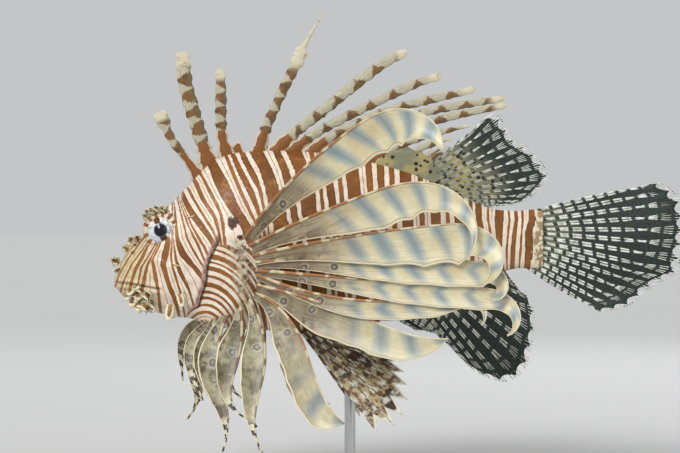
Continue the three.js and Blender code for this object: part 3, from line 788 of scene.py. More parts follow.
def feather_material():
    """Cream web of a pectoral feather: blue-grey bands, darker base, ringed spots."""
    c = colours()
    s = Shader("feather web", 0.38, 0.4)
    s.flesh(0.10, WEB_FLESH_DEPTH)
    s.coat(0.2, 0.25)
    far, deep, across = s.value("far"), s.value("deep"), s.value("across")
    place = s.join(far * 0.05, deep * 0.9, s.value("feather"))
    streak = s.noise(1.6, 4, 0.6, place)
    cream = s.mix(s.patches(0.38, 0.66, 55, 3), c.cream, SAND)
    cream = s.mix(s.step(streak, 0.5, 0.72) * 0.5, cream, SAND_STREAK)
    jitter = s.wander(0.42, 38, 3)
    wave = s.math("PINGPONG", s.value("band_at"), 0.5) + jitter
    fade = 1.0 - s.step(across, 0.6, 1.0) * 0.55
    shown = s.value("banded") * fade
    web = s.mix(s.step(wave, 0.38, 0.12) * (shown * 0.75), cream, c.band)
    core = s.step(wave, 0.16, 0.0) * (shown * 0.5)
    web = s.mix(core, web, BAND_CORE)
    taupe = s.mix(s.patches(0.38, 0.62, 85, 4, 0.6), *TAUPE)
    inner = s.mix(s.step(streak, 0.42, 0.60), taupe, TAUPE_STREAK)
    web = s.mix(s.value("inner"), web, inner)
    dusky = s.mix(s.step(streak, 0.45, 0.6), *DUSK)
    web = s.mix(s.value("dusk"), web, dusky)
    olive = s.mix(s.patches(0.40, 0.62, 120, 4, 0.6), *OLIVE)
    web = s.mix(s.value("olive"), web, olive)
    repeat = s.math("PINGPONG", far - s.value("spot_at"), 8.0)
    sideways = deep - s.value("spot_deep")
    from_spot = s.distance(repeat, sideways) + s.wander(1.6, 420, 3)
    shown = s.value("spotted") * 0.85
    halo = s.step(from_spot, 3.4, 2.1) * (shown * 0.5)
    web = s.mix(halo, web, SPOT_HALO)
    web = s.mix(s.step(from_spot, 2.2, 1.7) * shown, web, SPOT_RING)
    web = s.mix(s.step(from_spot, 1.3, 0.7) * shown, web, SPOT_MIDDLE)
    dark = s.patches(0.5, 0.58, 130, 4, 0.7) * s.value("mottled")
    web = s.mix(dark, web, MOTTLE)
    wander = s.wander(0.9, 140, 3)
    ringed = s.step(s.math("PINGPONG", far * 0.16 + wander, 0.5), 0.22, 0.3)
    web = s.mix(s.value("filament"), web, s.mix(ringed, *THREAD))
    line = s.step(across, 0.885, 0.925) * (1.0 - s.value("filament"))
    web = s.mix(line * 0.55, web, EDGE_LINE)
    # Painted highlight: a bright line along the rim of each feather's web
    web = s.mix(s.step(across, 0.93, 0.96) * 0.85, web, RIM_HIGHLIGHT)
    s.colour(web)
    s.bump(streak + s.noise(700, 2) * 0.3, 0.35, 0.0006)
    return s.material


SHAFT_CREAM = (0.62, 0.52, 0.33)
SHAFT_TIP = (0.74, 0.68, 0.46)
SHAFT_OLIVE = ((0.50, 0.45, 0.29), (0.16, 0.10, 0.05))
SHAFT_THREAD = ((0.60, 0.56, 0.38), (0.035, 0.022, 0.012))


def shaft_material():
    """Leading rays of the pectoral feathers: orange brown and cream lengths, ringed threads."""
    c = colours()
    s = Shader("feather shaft", 0.4, 0.45)
    wobble = s.wander(1.6, 110, 3)
    wave = s.math("PINGPONG", s.value("far") / 13.0 + wobble, 0.5)
    tone = s.mix(s.step(wave, 0.08, 0.24), SHAFT_CREAM, c.edge)
    tone = s.mix(s.value("tip") * 0.8, tone, SHAFT_TIP)
    olive = s.mix(s.step(wave, 0.2, 0.3), *SHAFT_OLIVE)
    tone = s.mix(s.value("olive") * 0.75, tone, olive)
    ringed = s.step(s.math("PINGPONG", s.value("far") * 0.2, 0.5), 0.24, 0.3)
    tone = s.mix(s.value("filament"), tone, s.mix(ringed, *SHAFT_THREAD))
    s.colour(tone)
    s.bump(s.noise(800, 2), 0.2, 0.0003)
    return s.material


PELVIC_OLIVE = (0.42, 0.35, 0.19)
PELVIC_CLOUD = (0.045, 0.022, 0.012)
PELVIC_SPOT = (0.66, 0.64, 0.53)
PELVIC_POINT = (0.78, 0.76, 0.64)


def pelvic_material():
    """Brown web with soft white blotches in rows and pale points."""
    c = colours()
    s = Shader("pelvic web", 0.5, 0.35)
    along, beside = s.value("along"), s.value("beside")
    place = s.join(along * 0.1, beside)
    mottle = s.noise(2.2, 5, 0.65, place)
    brown = s.mix(s.step(mottle, 0.42, 0.54), c.pelvic, PELVIC_OLIVE)
    brown = s.mix(s.patches(0.52, 0.60, 95, 3, 0.6), brown, PELVIC_CLOUD)
    rows = s.math("PINGPONG", along / 9.0, 0.5)
    spots = s.step(rows, 0.26, 0.1) * s.patches(0.4, 0.52, 120, 3)
    spots = spots * s.step(s.math("PINGPONG", beside, 0.5), 0.46, 0.12)
    web = s.mix(spots * 0.9, brown, PELVIC_SPOT)
    s.colour(s.mix(s.step(s.value("rim"), 0.945, 0.985), web, PELVIC_POINT))
    s.bump(mottle + s.noise(500, 3), 0.3, 0.0006)
    return s.material


FRINGE_BROWN = ((0.34, 0.19, 0.07), (0.13, 0.06, 0.02))
FRINGE_EDGE = (0.74, 0.68, 0.47)


def fringe_material():
    """Pale lace of the skin flaps: white margins round a brown middle."""
    s = Shader("fringe", 0.5, 0.35)
    tone = s.mix(s.patches(0.4, 0.62, 500, 3, 0.6), *FRINGE_BROWN)
    edge = s.value("edge") + s.wander(0.5, 700, 2)
    tone = s.mix(s.step(edge, 0.35, 0.6), tone, FRINGE_EDGE)
    s.colour(tone)
    s.bump(s.noise(900, 3), 0.3, 0.0004)
    return s.material


STEEL = ((0.50, 0.51, 0.52), (0.68, 0.69, 0.70))


def steel_material():
    """Brushed steel of the rod, with fine lines round it."""
    s = Shader("brushed steel", 0.32, 0.5)
    s.set_body(("Metallic", 1.0))
    lines = s.noise(1500, 3, 0.6, s.moved_place(Scale=(1.0, 1.0, 0.02)))
    s.colour(s.mix(lines, *STEEL))
    s.rough(s.step(lines, -0.6, 2.0))
    return s.material


PALE_PAINT = ((0.62, 0.60, 0.56), (0.68, 0.66, 0.62))


def base_material():
    """Matt pale paint of the base, with a fine grain."""
    s = Shader("base paint", 0.5, 0.4)
    grain = s.noise(1800, 2)
    s.colour(s.mix(s.noise(14, 2), *PALE_PAINT))
    s.bump(grain, 0.25, 0.0003)
    s.rough(s.step(grain, -1.2, 1.6))
    return s.material


# Markings. Each brown bar: rows of height, middle and width in pixels of the photograph, from the snout back
BARS = (
    ((240, 142, 2), (262, 126, 2), (275, 119, 2)),
    ((245, 146, 2), (264, 132, 2), (280, 124, 2)),
    ((247, 147, 3), (258, 142, 4), (268, 136, 4), (280, 132, 3)),
    ((250, 152, 2), (268, 141, 2), (285, 138, 2)),
    ((252, 154, 2), (266, 147, 3), (280, 144, 4), (290, 142, 4)),
    ((247, 158, 3), (260, 152, 3), (268, 154, 4), (280, 156, 4), (290, 158, 3)),
    (
        (236, 167, 5), (243, 168, 6), (255, 165, 7), (265, 163, 6), (275, 166, 5), (285, 169, 5),
        (297, 174, 5), (310, 178, 3),
    ),
    ((240, 172, 1.5), (255, 171, 2), (265, 172, 2), (275, 175, 2), (285, 178, 2), (295, 181, 2)),
    ((245, 174, 1.5), (260, 176, 3), (272, 180, 5), (282, 185, 4), (290, 189, 2)),
    (
        (200, 172, 4), (215, 175, 3), (225, 176, 3), (238, 177, 4), (248, 180, 7), (256, 184, 9),
        (264, 191, 7), (270, 197, 6), (280, 204, 5),
    ),
    ((205, 179, 1.5), (225, 184, 2), (238, 187, 2), (248, 192, 2), (260, 199, 2), (268, 204, 1.5)),
    ((205, 181, 1.2), (222, 187, 3), (235, 193, 3), (247, 199, 3), (257, 203, 2), (264, 206, 2)),
    ((208, 184, 1.2), (225, 191, 3), (237, 198, 3), (247, 204, 3), (256, 208, 2)),
    (
        (185, 178, 6), (193, 181, 7), (203, 186, 7), (212, 191, 8), (220, 197, 9), (230, 204, 8),
        (238, 210, 7), (246, 214, 4), (252, 216, 2),
    ),
    ((183, 184, 2), (190, 189, 3), (200, 194, 3), (210, 200, 3), (220, 206, 3), (229, 212, 3), (240, 217, 2)),
    ((175, 191, 4), (183, 196, 5), (193, 200, 5), (203, 205, 5), (211, 211, 5), (218, 215, 4), (232, 219, 3)),
    ((170, 198, 3), (180, 204, 3), (192, 210, 4), (203, 216, 4), (215, 221, 3), (228, 223, 3)),
    (
        (150, 205, 9), (165, 213, 11), (182, 221, 15), (195, 227, 15), (207, 233, 13),
        (217, 240, 12), (228, 247, 12),
    ),
    ((152, 224, 3), (160, 228, 4), (175, 234, 4), (190, 240, 4), (203, 246, 4), (214, 251, 3), (224, 256, 2)),
    ((152, 232, 5), (160, 235, 6), (175, 242, 8), (190, 250, 8), (205, 256, 6), (222, 262, 3)),
    ((152, 242, 6), (160, 245, 7), (175, 253, 8), (190, 260, 5), (205, 263, 2.5), (222, 267, 2)),
    ((152, 256, 15), (170, 266, 14), (185, 271, 15), (200, 275, 16), (213, 278, 17), (240, 284, 17)),
    ((152, 277, 8), (170, 285, 9), (185, 289, 9), (213, 294, 8), (240, 299, 7)),
    ((152, 294, 17), (170, 302, 16), (190, 307, 17), (210, 309, 17), (240, 314, 16)),
    ((152, 311, 5), (190, 321, 4), (210, 323, 4), (240, 328, 4)),
    ((152, 324, 9), (200, 332, 9), (240, 337, 9)),
    ((152, 337, 5), (200, 342, 5), (240, 346, 5)),
    ((152, 350, 14), (200, 355, 14), (240, 359, 14)),
    ((160, 368, 7), (200, 371, 6), (240, 374, 6)),
    ((160, 380, 8), (200, 382, 7), (240, 385, 7)),
    ((160, 391, 6), (200, 393, 5), (240, 396, 5)),
    ((160, 405, 13), (200, 406, 12), (240, 409, 12)),
    ((170, 420, 6), (200, 421, 5), (240, 423, 5)),
    ((170, 434, 11), (200, 435, 11), (250, 437, 10)),
    ((180, 446, 4), (250, 449, 4)),
    ((190, 458, 11), (250, 461, 10)),
    ((190, 470, 4), (250, 472, 4)),
    ((200, 478, 7), (220, 479, 7), (250, 484, 6), (270, 488, 5)),
    ((205, 488, 2), (220, 488, 2), (250, 494, 2), (270, 498, 2)),
    ((205, 500, 9), (220, 499, 9), (250, 499, 6), (270, 503, 5)),
    ((205, 508, 2), (220, 509.5, 2), (250, 506.5, 1.5), (270, 507, 1.5)),
    ((205, 515, 4), (220, 516.5, 4), (235, 514, 5), (250, 513, 5), (270, 512, 5)),
    ((205, 522, 2), (220, 522.5, 2), (250, 520.5, 1.5), (270, 519, 1.5)),
    ((205, 531, 5), (220, 532, 7), (232, 528, 7), (250, 529, 8), (265, 527, 6), (275, 525, 5)),
)
# Bars of the breast: rings round a centre, each with its radius and width in pixels
BREAST_CENTRE = (205.0, 342.0)
BREAST_SQUEEZE = 1.4
BREAST_BARS = (
    (30, 3), (37, 2.5), (44, 3), (50, 2.5), (57.5, 5), (66, 2.5),
    (74, 5), (80, 2), (86, 6), (93, 2), (100, 5), (109, 2),
)
# Lines of the head in the side view, in millimetres: edge of the gill cover from the top down, slit of the
# mouth, fleshy lobe at the pectoral fin's root, ridge of the cheek, and the nostril
GILL_EDGE = (
    (-71.5, 133.5), (-75.2, 126.0), (-77.4, 120.4), (-78.2, 112.0),
    (-81.0, 104.0), (-82.7, 98.5), (-89.0, 94.5),
)
MOUTH_LINE = ((-131.0, 111.2), (-122.0, 110.4), (-112.0, 108.9), (-104.0, 107.6), (-101.5, 106.6))
LOBE_LINE = ((-61.0, 131.0), (-57.0, 120.0), (-58.0, 108.0), (-66.0, 98.0), (-76.0, 91.5))
CHEEK_LINE = ((-108.0, 124.0), (-96.0, 119.0), (-89.0, 112.0), (-88.0, 104.0))
NOSTRIL = (-118.5, 127.5)
# Dark blotches: middle and half sizes in pixels of the photograph
BLOTCH = ((233.0, 223.0, 5.0, 6.5), (241.0, 237.0, 3.5, 3.0))


def phase_of(position, edges):
    """Counts the edges passed at a position, with the share of the way to the next, and edges per mm."""
    edges = np.maximum.accumulate(edges + np.arange(len(edges))[:, None] * 1e-3, axis=0)
    low = edges[0] - 6
    high = edges[-1] + 60
    stack = np.vstack([low, edges, high])
    passed = np.clip((stack <= position).sum(0) - 1, 0, len(stack) - 2)
    column = np.arange(len(position))
    start = stack[passed, column]
    end = stack[passed + 1, column]
    gap = np.maximum(end - start, 0.3)
    return passed + np.clip((position - start) / gap, 0, 1), MM / (gap * PIXEL)


def markings(points):
    """Attributes of the bars for points of the skin, in millimetres."""
    px, py = photo_place(points[:, 0] * MM, points[:, 1] * MM, points[:, 2] * MM)
    edges, middles, widths = [], [], []
    for bar in BARS:
        rows = np.array(bar, dtype=float)
        middle = np.interp(py, rows[:, 0], rows[:, 1])
        lean_top = (rows[1, 1] - rows[0, 1]) / (rows[1, 0] - rows[0, 0])
        lean_low = (rows[-1, 1] - rows[-2, 1]) / (rows[-1, 0] - rows[-2, 0])
        middle += np.clip(py - rows[0, 0], -7, 0) * lean_top
        middle += np.clip(py - rows[-1, 0], 0, 60) * lean_low * 0.6
        width = np.interp(py, rows[:, 0], rows[:, 2])
        edges += [middle - width / 2, middle + width / 2]
        middles.append(middle)
        widths.append(width)
    nearest = np.abs(np.array(middles) - px).argmin(0)
    width = np.array(widths)[nearest, np.arange(len(px))]
    bars, pace = phase_of(px, np.array(edges))
    radius = np.hypot((px - BREAST_CENTRE[0]) * BREAST_SQUEEZE, py - BREAST_CENTRE[1])
    rings = np.array([[r + sign * w / 2] for r, w in BREAST_BARS for sign in (-1, 1)])
    breast_bars, breast_pace = phase_of(radius, np.repeat(rings, len(px), axis=1))
    x, z = points[:, 0], points[:, 2]
    ahead = x - gill_edge_at(z)
    in_gill = smooth(z, 93.0, 99.0) * smooth(140.0 - z, 0.0, 7.0)
    blotch = np.full(len(px), 9.0)
    for bx, by, rx, ry in BLOTCH:
        blotch = np.minimum(blotch, np.hypot((px - bx) / rx, (py - by) / ry))
    return {
        "bars": bars,
        "bars_pace": pace,
        "bar_width": width,
        "breast_bars": breast_bars,
        "breast_bars_pace": breast_pace,
        "breast": smooth(ahead, -0.4, 0.4) * smooth(py, 243.0, 247.0) * smooth(278 - px, -2, 2),
        "snout": smooth(px, 168.0, 132.0) * 0.9,
        "blotch": blotch,
        "margin": (px - 535.0 + 3.0 * np.cos((z - 134.0) / 8.0)) / 4.0,
        "lobe": bell(distance_to_line(x, z, LOBE_LINE[:3]), 4.5),
        "gill": bell(ahead + 1.0, 1.1) * in_gill,
        # Painted shade along the gill slit, in the slit of the mouth and in the nostril
        "seam": bell(ahead - 0.7, 0.6) * in_gill + mouth_and_nostril_shade(x, z),
    }


def off_mouth_line(x, z):
    """Height above the line of the mouth."""
    mouth = np.array(MOUTH_LINE)
    return z - np.interp(x, mouth[:, 0], mouth[:, 1])


def mouth_and_nostril_shade(x, z):
    """How dark the slit of the mouth and the nostril are: painted shade in the slit and in the nostril's
    hollow.
    """
    slit = 0.35 * bell(off_mouth_line(x, z), 0.5) * smooth(-101.0 - x, 0.0, 4.0)
    return slit + bell(np.hypot(x - NOSTRIL[0], z - NOSTRIL[1]), 0.8)


def gill_edge_at(z):
    """Where the gill cover's rear edge lies at heights z."""
    edge = np.array(GILL_EDGE)[::-1]
    return np.interp(z, edge[:, 1], edge[:, 0])


def distance_to_line(x, z, line):
    """Distance to a line of straight pieces in the side view."""
    best = np.full(len(x), 1e9)
    for (x0, z0), (x1, z1) in zip(line[:-1], line[1:]):
        dx, dz = x1 - x0, z1 - z0
        t = np.clip(((x - x0) * dx + (z - z0) * dz) / (dx * dx + dz * dz), 0, 1)
        best = np.minimum(best, np.hypot(x - x0 - t * dx, z - z0 - t * dz))
    return best


# Shares of the rings of the skin and where they lie, closer together at the snout and on the head
RING_SHARES = (0, 0.04, 0.55, 1.0)
RING_PLACES = (-129.5, -128.0, -68.0, BODY_END)
# Swellings and hollows of the skin, in millimetres off its surface
LIP_MIDDLE = 1.7
MOUTH_DEPTH = 1.3
GILL_SLIT = 0.5
LOBE_SWELL = 4.2
CHEEK_SWELL = 0.9
BROW_SWELL = 1.6
NOSTRIL_DEPTH = 1.2
NOSTRIL_RIM = 0.7
# The eye and its lids in millimetres; the lens's reach, the lids' rim and their reach are angles about
# the eye's centre
EYE = (-102.4, 13.2, 139.6)
EYE_RADIUS = 9.4
EYE_RINGS = 40
EYE_SIDES = 64
LENS_REACH = 0.42
LENS_BULGE = 0.5
LID_RADIUS = 10.4
LID_RIM = 0.05
LID_REACH = 2.95
LID_SPOKES = 14
LID_BAR_WIDTH = 4.0


def build_skin():
    """One skin over head, trunk and tail stalk, with lips, gill cover, brow, nostril and lids."""
    s = sizes()
    rings, sides = s.skin_rings, s.skin_sides
    share = np.linspace(0, 1, rings)
    x = np.interp(share, RING_SHARES, RING_PLACES)
    a = np.arange(sides) / sides * 2 * np.pi
    xx, aa = (g.ravel() for g in np.meshgrid(x, a, indexing="ij"))
    flat = skin_points(xx, aa, 0.0)
    z = flat[:, 2]
    off_mouth = off_mouth_line(xx, z)
    in_mouth = smooth(-100.0 - xx, 0.0, 6.0)
    grow = s.lip_swell / MM * bell(np.abs(off_mouth) - LIP_MIDDLE, 1.2) * in_mouth
    grow -= MOUTH_DEPTH * bell(off_mouth, 0.7) * in_mouth
    ahead = xx - gill_edge_at(z)
    in_gill = smooth(z, 95.0, 101.0) * smooth(140.0 - z, 0.0, 7.0)
    grow += s.gill_step / MM * smooth(ahead, -9.0, -1.0) * (1 - smooth(ahead, -0.3, 0.3)) * in_gill
    grow -= GILL_SLIT * bell(ahead - 0.9, 0.9) * in_gill
    grow += LOBE_SWELL * bell(distance_to_line(xx, z, LOBE_LINE), 6.5)
    grow += CHEEK_SWELL * bell(distance_to_line(xx, z, CHEEK_LINE), 1.8) * smooth(-80.0 - xx, 0.0, 6.0)
    grow += BROW_SWELL * bell(np.hypot(xx - EYE[0], z - EYE[2]), 13.0, power=4)
    nose = np.hypot(xx - NOSTRIL[0], z - NOSTRIL[1])
    grow += NOSTRIL_RIM * bell(nose - 2.0, 0.9) - NOSTRIL_DEPTH * bell(nose, 0.9)
    points = skin_points(xx, aa, grow)
    heap = Heap()
    heap.add(points, tube_faces(rings, sides, flip=True), **markings(points))
    for side, _ in SIDES:
        add_lids(heap, side)
    dress(heap.piece("skin", skin_material()), "banded_skin", "head", "trunk", "tail_stalk")


def ball_points(side, radius, angle, turn):
    """Points of a ball about the eye, in rings at angles from its outward pole."""
    r = radius[:, None]
    x = EYE[0] + r * np.sin(angle)[:, None] * np.cos(turn)
    z = EYE[2] + r * np.sin(angle)[:, None] * np.sin(turn)
    y = side * (EYE[1] + r * np.cos(angle)[:, None] * np.ones_like(turn))
    return np.stack([x, y, z], axis=-1)


def add_lids(heap, side):
    """Dome round the eye with a rounded rim at its opening and bars that run out from it."""
    start = math.asin(sizes().lid_opening / MM / LID_RADIUS)
    angle = np.concatenate([np.linspace(start - LID_RIM, start, 5)[:-1], np.linspace(start, LID_REACH, 34)])
    fallen = np.clip((start - angle) / LID_RIM, 0, 1)
    radius = LID_RADIUS - (LID_RADIUS - EYE_RADIUS + 0.1) * fallen ** 1.5
    bulge = bell(angle - start - 0.05, 0.07) * 0.35
    turn = np.linspace(0, 2 * np.pi, 73)[:-1]
    points = ball_points(side, radius + bulge, angle, turn).reshape(-1, 3)
    faces = grid_faces(len(angle) - 1, len(turn), closed=True, flip=side < 0)
    marks = markings(points)
    marks["bars"] = np.tile(LID_SPOKES * np.abs(turn / np.pi - 1), len(angle))
    marks["bars_pace"] = LID_SPOKES / (np.pi * LID_RADIUS)
    marks["bar_width"] = LID_BAR_WIDTH
    marks["breast"] = 0.0
    heap.add(points, faces, **marks)


def build_eyes():
    """Eyeballs, with a lens that bulges a little at the pupil."""
    angle = np.linspace(0, np.pi, EYE_RINGS)
    turn = np.arange(EYE_SIDES) / EYE_SIDES * 2 * np.pi
    lens = np.where(angle < LENS_REACH, LENS_BULGE * np.cos(angle / LENS_REACH * np.pi / 2) ** 2, 0.0)
    for side, name in SIDES:
        ball = ball_points(side, sizes().eye_radius / MM + lens, angle, turn)
        points = ball[1:-1].reshape(-1, 3)
        faces = tube_faces(EYE_RINGS - 2, EYE_SIDES, flip=side < 0)
        piece = new_piece("eyeball_" + name, points * MM, faces, eye_material(name))
        dress(piece, "eye", "eye_" + name)


# Fringes and flaps of the head: place along the body, height, length, lean in the side view and how far
# each stands out
FRINGES = (
    (-119.0, 131.0, 6.5, 112, 0.3), (-121.5, 128.0, 5.5, 130, 0.4), (-116.5, 132.0, 6.0, 96, 0.4),
    (-118.0, 131.0, 5.0, 80, 0.8), (-127.0, 121.5, 6.0, 150, 0.5), (-126.0, 118.0, 4.5, 185, 0.5),
    (-119.0, 106.5, 7.0, 240, 0.6), (-117.0, 105.0, 9.0, 255, 0.6), (-114.5, 103.5, 10.0, 268, 0.5),
    (-112.0, 102.5, 10.5, 280, 0.6), (-109.5, 102.0, 9.0, 295, 0.6), (-117.0, 108.0, 7.0, 225, 0.9),
    (-114.0, 106.5, 8.0, 250, 1.1), (-111.0, 105.5, 8.0, 285, 1.1), (-113.0, 108.0, 6.5, 265, 1.6),
    (-109.5, 107.0, 6.0, 300, 1.4), (-115.5, 109.0, 5.5, 215, 1.5),
)
# Tufts above the eye: turn round the lid, length, how far each stands out
BROWS = (
    (74, 4.5, 0.6), (86, 5.5, 0.9), (98, 6.0, 0.5), (110, 6.4, 1.0), (122, 6.2, 0.6),
    (134, 5.4, 0.9), (92, 4.8, 1.6), (106, 5.4, 1.8), (120, 5.2, 1.6), (114, 5.8, 1.3),
)
# Flaps of the cheek, with their width, and short spines of the cheek: place, length, lean
TABS = ((-97.5, 99.0, 8.5, 262, 4.2), (-92.5, 105.0, 7.0, 285, 3.4))
SPINELETS = ((-96, 121, 350), (-90, 113, 335), (-90, 106, 320), (-88, 146, 20), (-94, 150, 25))
# How deep the foot of a flap lies in the skin, in millimetres
FOOT_DEPTH = 0.7
FRINGE_SEED = 4


def add_flap(heap, side, x, z, size, lean, t, half, depth, spread):
    """A flat flap or short spine that stands off the cheek."""
    angle = math.radians(lean)
    y = flank(x, z)[0] - FOOT_DEPTH
    path = np.stack([
        x + np.cos(angle) * size * t, side * (y + spread * (t + 0.1)), z + np.sin(angle) * size * t,
    ], axis=-1)
    points, faces, across = sweep(path, half, depth, 14)
    heap.add(points, faces, edge=np.maximum(np.abs(across), smooth(t, 0.6, 1.0)[:, None]))


def leaf_object():
    """One fringed leaf, a millimetre wide and high, standing on the origin."""
    v = np.linspace(0, 1, 10)[:, None]
    u = np.linspace(-1, 1, 7)[None, :]
    lobes = 1 + 0.30 * np.sin(v * 19.0 + u * 0.8) * np.sign(u)
    width = 0.42 * (np.sin(np.pi * np.clip(v * 0.86 + 0.1, 0, 1)) ** 0.7) * lobes
    curl = 0.12 * np.sin(v * 3 + u * 2.5)
    middle = np.stack([u * width, curl, v * (1 - 0.22 * np.abs(u))], axis=-1)
    heap = Heap()
    heap.add_plate(middle, SIDEWAYS, 0.04, edge=np.maximum(np.abs(u), smooth(v, 0.6, 1.0)))
    return heap.piece("leaf", None)


def build_fringes():
    """Leafy tufts on the brow, snout and jaw, and flaps and short spines on the cheek."""
    feet, outs, lengths = [], [], []
    for side, _ in SIDES:
        for x, z, size, lean, spread in FRINGES:
            angle = math.radians(lean)
            feet.append((x, side * (flank(x, z)[0] - 0.4), z))
            outs.append((math.cos(angle), side * spread, math.sin(angle)))
            lengths.append(size)
        foot = LID_RADIUS * 0.9
        y = EYE[1] + math.sqrt(LID_RADIUS ** 2 - foot ** 2)
        for turn, size, spread in BROWS:
            angle = math.radians(turn)
            feet.append((EYE[0] + foot * math.cos(angle), side * y, EYE[2] + foot * math.sin(angle)))
            outs.append((math.cos(angle + 0.2), side * spread, math.sin(angle + 0.2)))
            lengths.append(size)
    source = new_piece("fringe_feet", np.array(feet) * MM, values={"size": lengths})
    out = source.data.attributes.new("out", "FLOAT_VECTOR", "POINT")
    out.data.foreach_set("vector", np.array(outs, dtype=np.float32).ravel())
    leaf = leaf_object()
    material = fringe_material()
    piece = made_plain("fringes", source, leaf_tree(leaf), Size=1.0, Seed=FRINGE_SEED, Finish=material)
    bpy.data.objects.remove(leaf)
    dress(piece, "banded_skin")
    heap = Heap()
    for side, _ in SIDES:
        for x, z, size, lean, width in TABS:
            t = np.linspace(-0.1, 1, 14)
            half = width * np.sqrt(np.clip(1 - (np.clip(t, 0, 1) * 1.6 - 0.62) ** 2, 0.05, 1)) * 0.6
            add_flap(heap, side, x, z, size, lean, t, half + 0.25 * np.sin(t * 21), np.full(len(t), 0.6), 3.5)
        for x, z, lean in SPINELETS:
            t = np.linspace(-0.1, 1, 8)
            half = 0.9 * (1 - 0.8 * np.clip(t, 0, 1))
            add_flap(heap, side, x, z, 4.2, lean, t, half, half * 0.9, 2.4)
    dress(heap.piece("cheek_flaps", material), "banded_skin")


# Dorsal spines: path in millimetres, half width of the sheath, half width of the tip
SPINES = (
    (((-83, 169), (-90.8, 179.8), (-97.9, 189.2), (-101.8, 197.4), (-105, 204.6)), 2.4, 4.0),
    (((-75.9, 172), (-80.9, 186.4), (-84.2, 197.4), (-90.2, 218.9), (-92.4, 237.6)), 3.9, 3.9),
    (((-67, 179), (-70.4, 191.9), (-71, 202.9), (-71, 213.9), (-71.5, 228.2)), 3.0, 2.6),
    (((-51, 178), (-48.4, 189.2), (-39, 212.3), (-29.2, 232), (-25.9, 239.8), (-13.8, 260.6)), 3.0, 0.5),
    (((-43, 179), (-35.8, 188.1), (-11, 208.4), (16.5, 229.9), (31.4, 238.1)), 3.0, 2.5),
    (((-36, 179), (-22, 190.8), (5.5, 205.7), (38.5, 221), (50, 224.4)), 2.6, 2.2),
    (((-25.3, 179), (-11, 190.3), (19.2, 204.6), (68.7, 217.2)), 2.5, 2.0),
    (((-14, 178), (4, 190), (40, 204), (85, 212.2)), 2.3, 1.9),
    (((-3, 177), (15, 188), (48, 200), (86, 208.4)), 2.1, 1.7),
    (((8, 175), (24, 184.5), (46, 192.5), (66, 197)), 1.9, 0.8),
    (((17, 173), (30, 180.5), (44, 186.5), (56, 190)), 1.7, 0.8),
    (((24, 170.5), (34, 176.5), (45, 182), (53, 185)), 1.5, 0.7),
    (((30, 167.5), (38, 174), (48, 181.5), (54, 186.5)), 1.4, 0.6),
)
SHEATH_STEPS = 96
SHEATH_SIDES = 18
# Length of a bead of the front spines' and of the rear spines' sheaths, and how pale they are
BEADS = (8.0, 13.0)
PALENESS = (0.30, 0.16)
SPINE_SEED = 11
# The one spine whose bare point shows, and the share of its length where the point starts
NEEDLE = 3
NEEDLE_FROM = 0.73
# How far the foot of the spiny fin's web lies under the feet of the spines
WEB_DEPTH = 3.0


def build_spines():
    """Dorsal spines in ragged sheaths, and the low web that joins their feet."""
    rng = np.random.default_rng(SPINE_SEED)
    heap = Heap()
    t = np.linspace(0, 1, SHEATH_STEPS)
    for k, (pairs, wide, end) in enumerate(SPINES):
        path = xz_path(pairs, t)
        reach = reach_along(path)
        s = reach / reach[-1]
        body = wide * (1 + 0.75 * (1 - smooth(s, 0.0, 0.22)))
        rough = 0.05 * rng.standard_normal(len(t)) * (1 - 0.6 * smooth(s, 0.7, 0.9))
        ripple = 1 + 0.10 * np.sin(reach * 0.95 + k) + rough
        if k == NEEDLE:
            bulb = 0.30 * bell(s - NEEDLE_FROM + 0.06, 0.06)
            point = 1.3 * (1 - s) / (1 - NEEDLE_FROM) + 0.12
            half = np.where(s < NEEDLE_FROM, body * ripple * (0.92 + bulb), point)
            half = np.where((s >= NEEDLE_FROM) & (s < NEEDLE_FROM + 0.03), 1.6, half)
            tip = smooth(s, NEEDLE_FROM - 0.16, NEEDLE_FROM - 0.08)
        else:
            club = smooth(s, 0.72, 0.92)
            half = (body * (1 - club) + end * club) * ripple
            half = half * np.clip((1.002 - s) / 0.03, 0.02, 1) ** 0.4
            tip = smooth(s, 0.84, 0.92) if k < NEEDLE else smooth(s, 0.90, 0.96)
        depth = np.minimum(1.5 * (1 - s) + 0.55, 1.9)
        points, faces, across = sweep(path, half, np.minimum(depth, half * 0.9), SHEATH_SIDES)
        group = 0 if k <= NEEDLE else 1
        period = BEADS[group] + 1.5 * rng.random()
        rings = {"along": reach / period + k * 0.37, "low": 1 - smooth(reach, 12.0, 20.0), "tip": tip}
        rings = {key: np.repeat(value, across.shape[1]) for key, value in rings.items()}
        heap.add(points, faces, across=across, pale=PALENESS[group], **rings)
    u = np.linspace(0, 1, 97)
    v = np.linspace(0, 1, 9)[:, None]
    foot = xz_path([pairs[0] for pairs, _, _ in SPINES], u)
    lift = v * (9.0 + 4.0 * np.cos(u * 24 * np.pi) * smooth(u, 0.0, 0.05))
    middle = np.stack([foot[:, 0] + lift * 0.45, 0 * lift, foot[:, 2] - WEB_DEPTH + lift], axis=-1)
    heap.add_plate(
        middle, SIDEWAYS, 1.0 - 0.75 * v, along=lift * 0.1, across=v ** 3, low=1.0, tip=0.0, pale=0.0,
    )
    dress(heap.piece("dorsal_spines", spine_material()), "spine_sheath", "spiny_dorsal_fin")


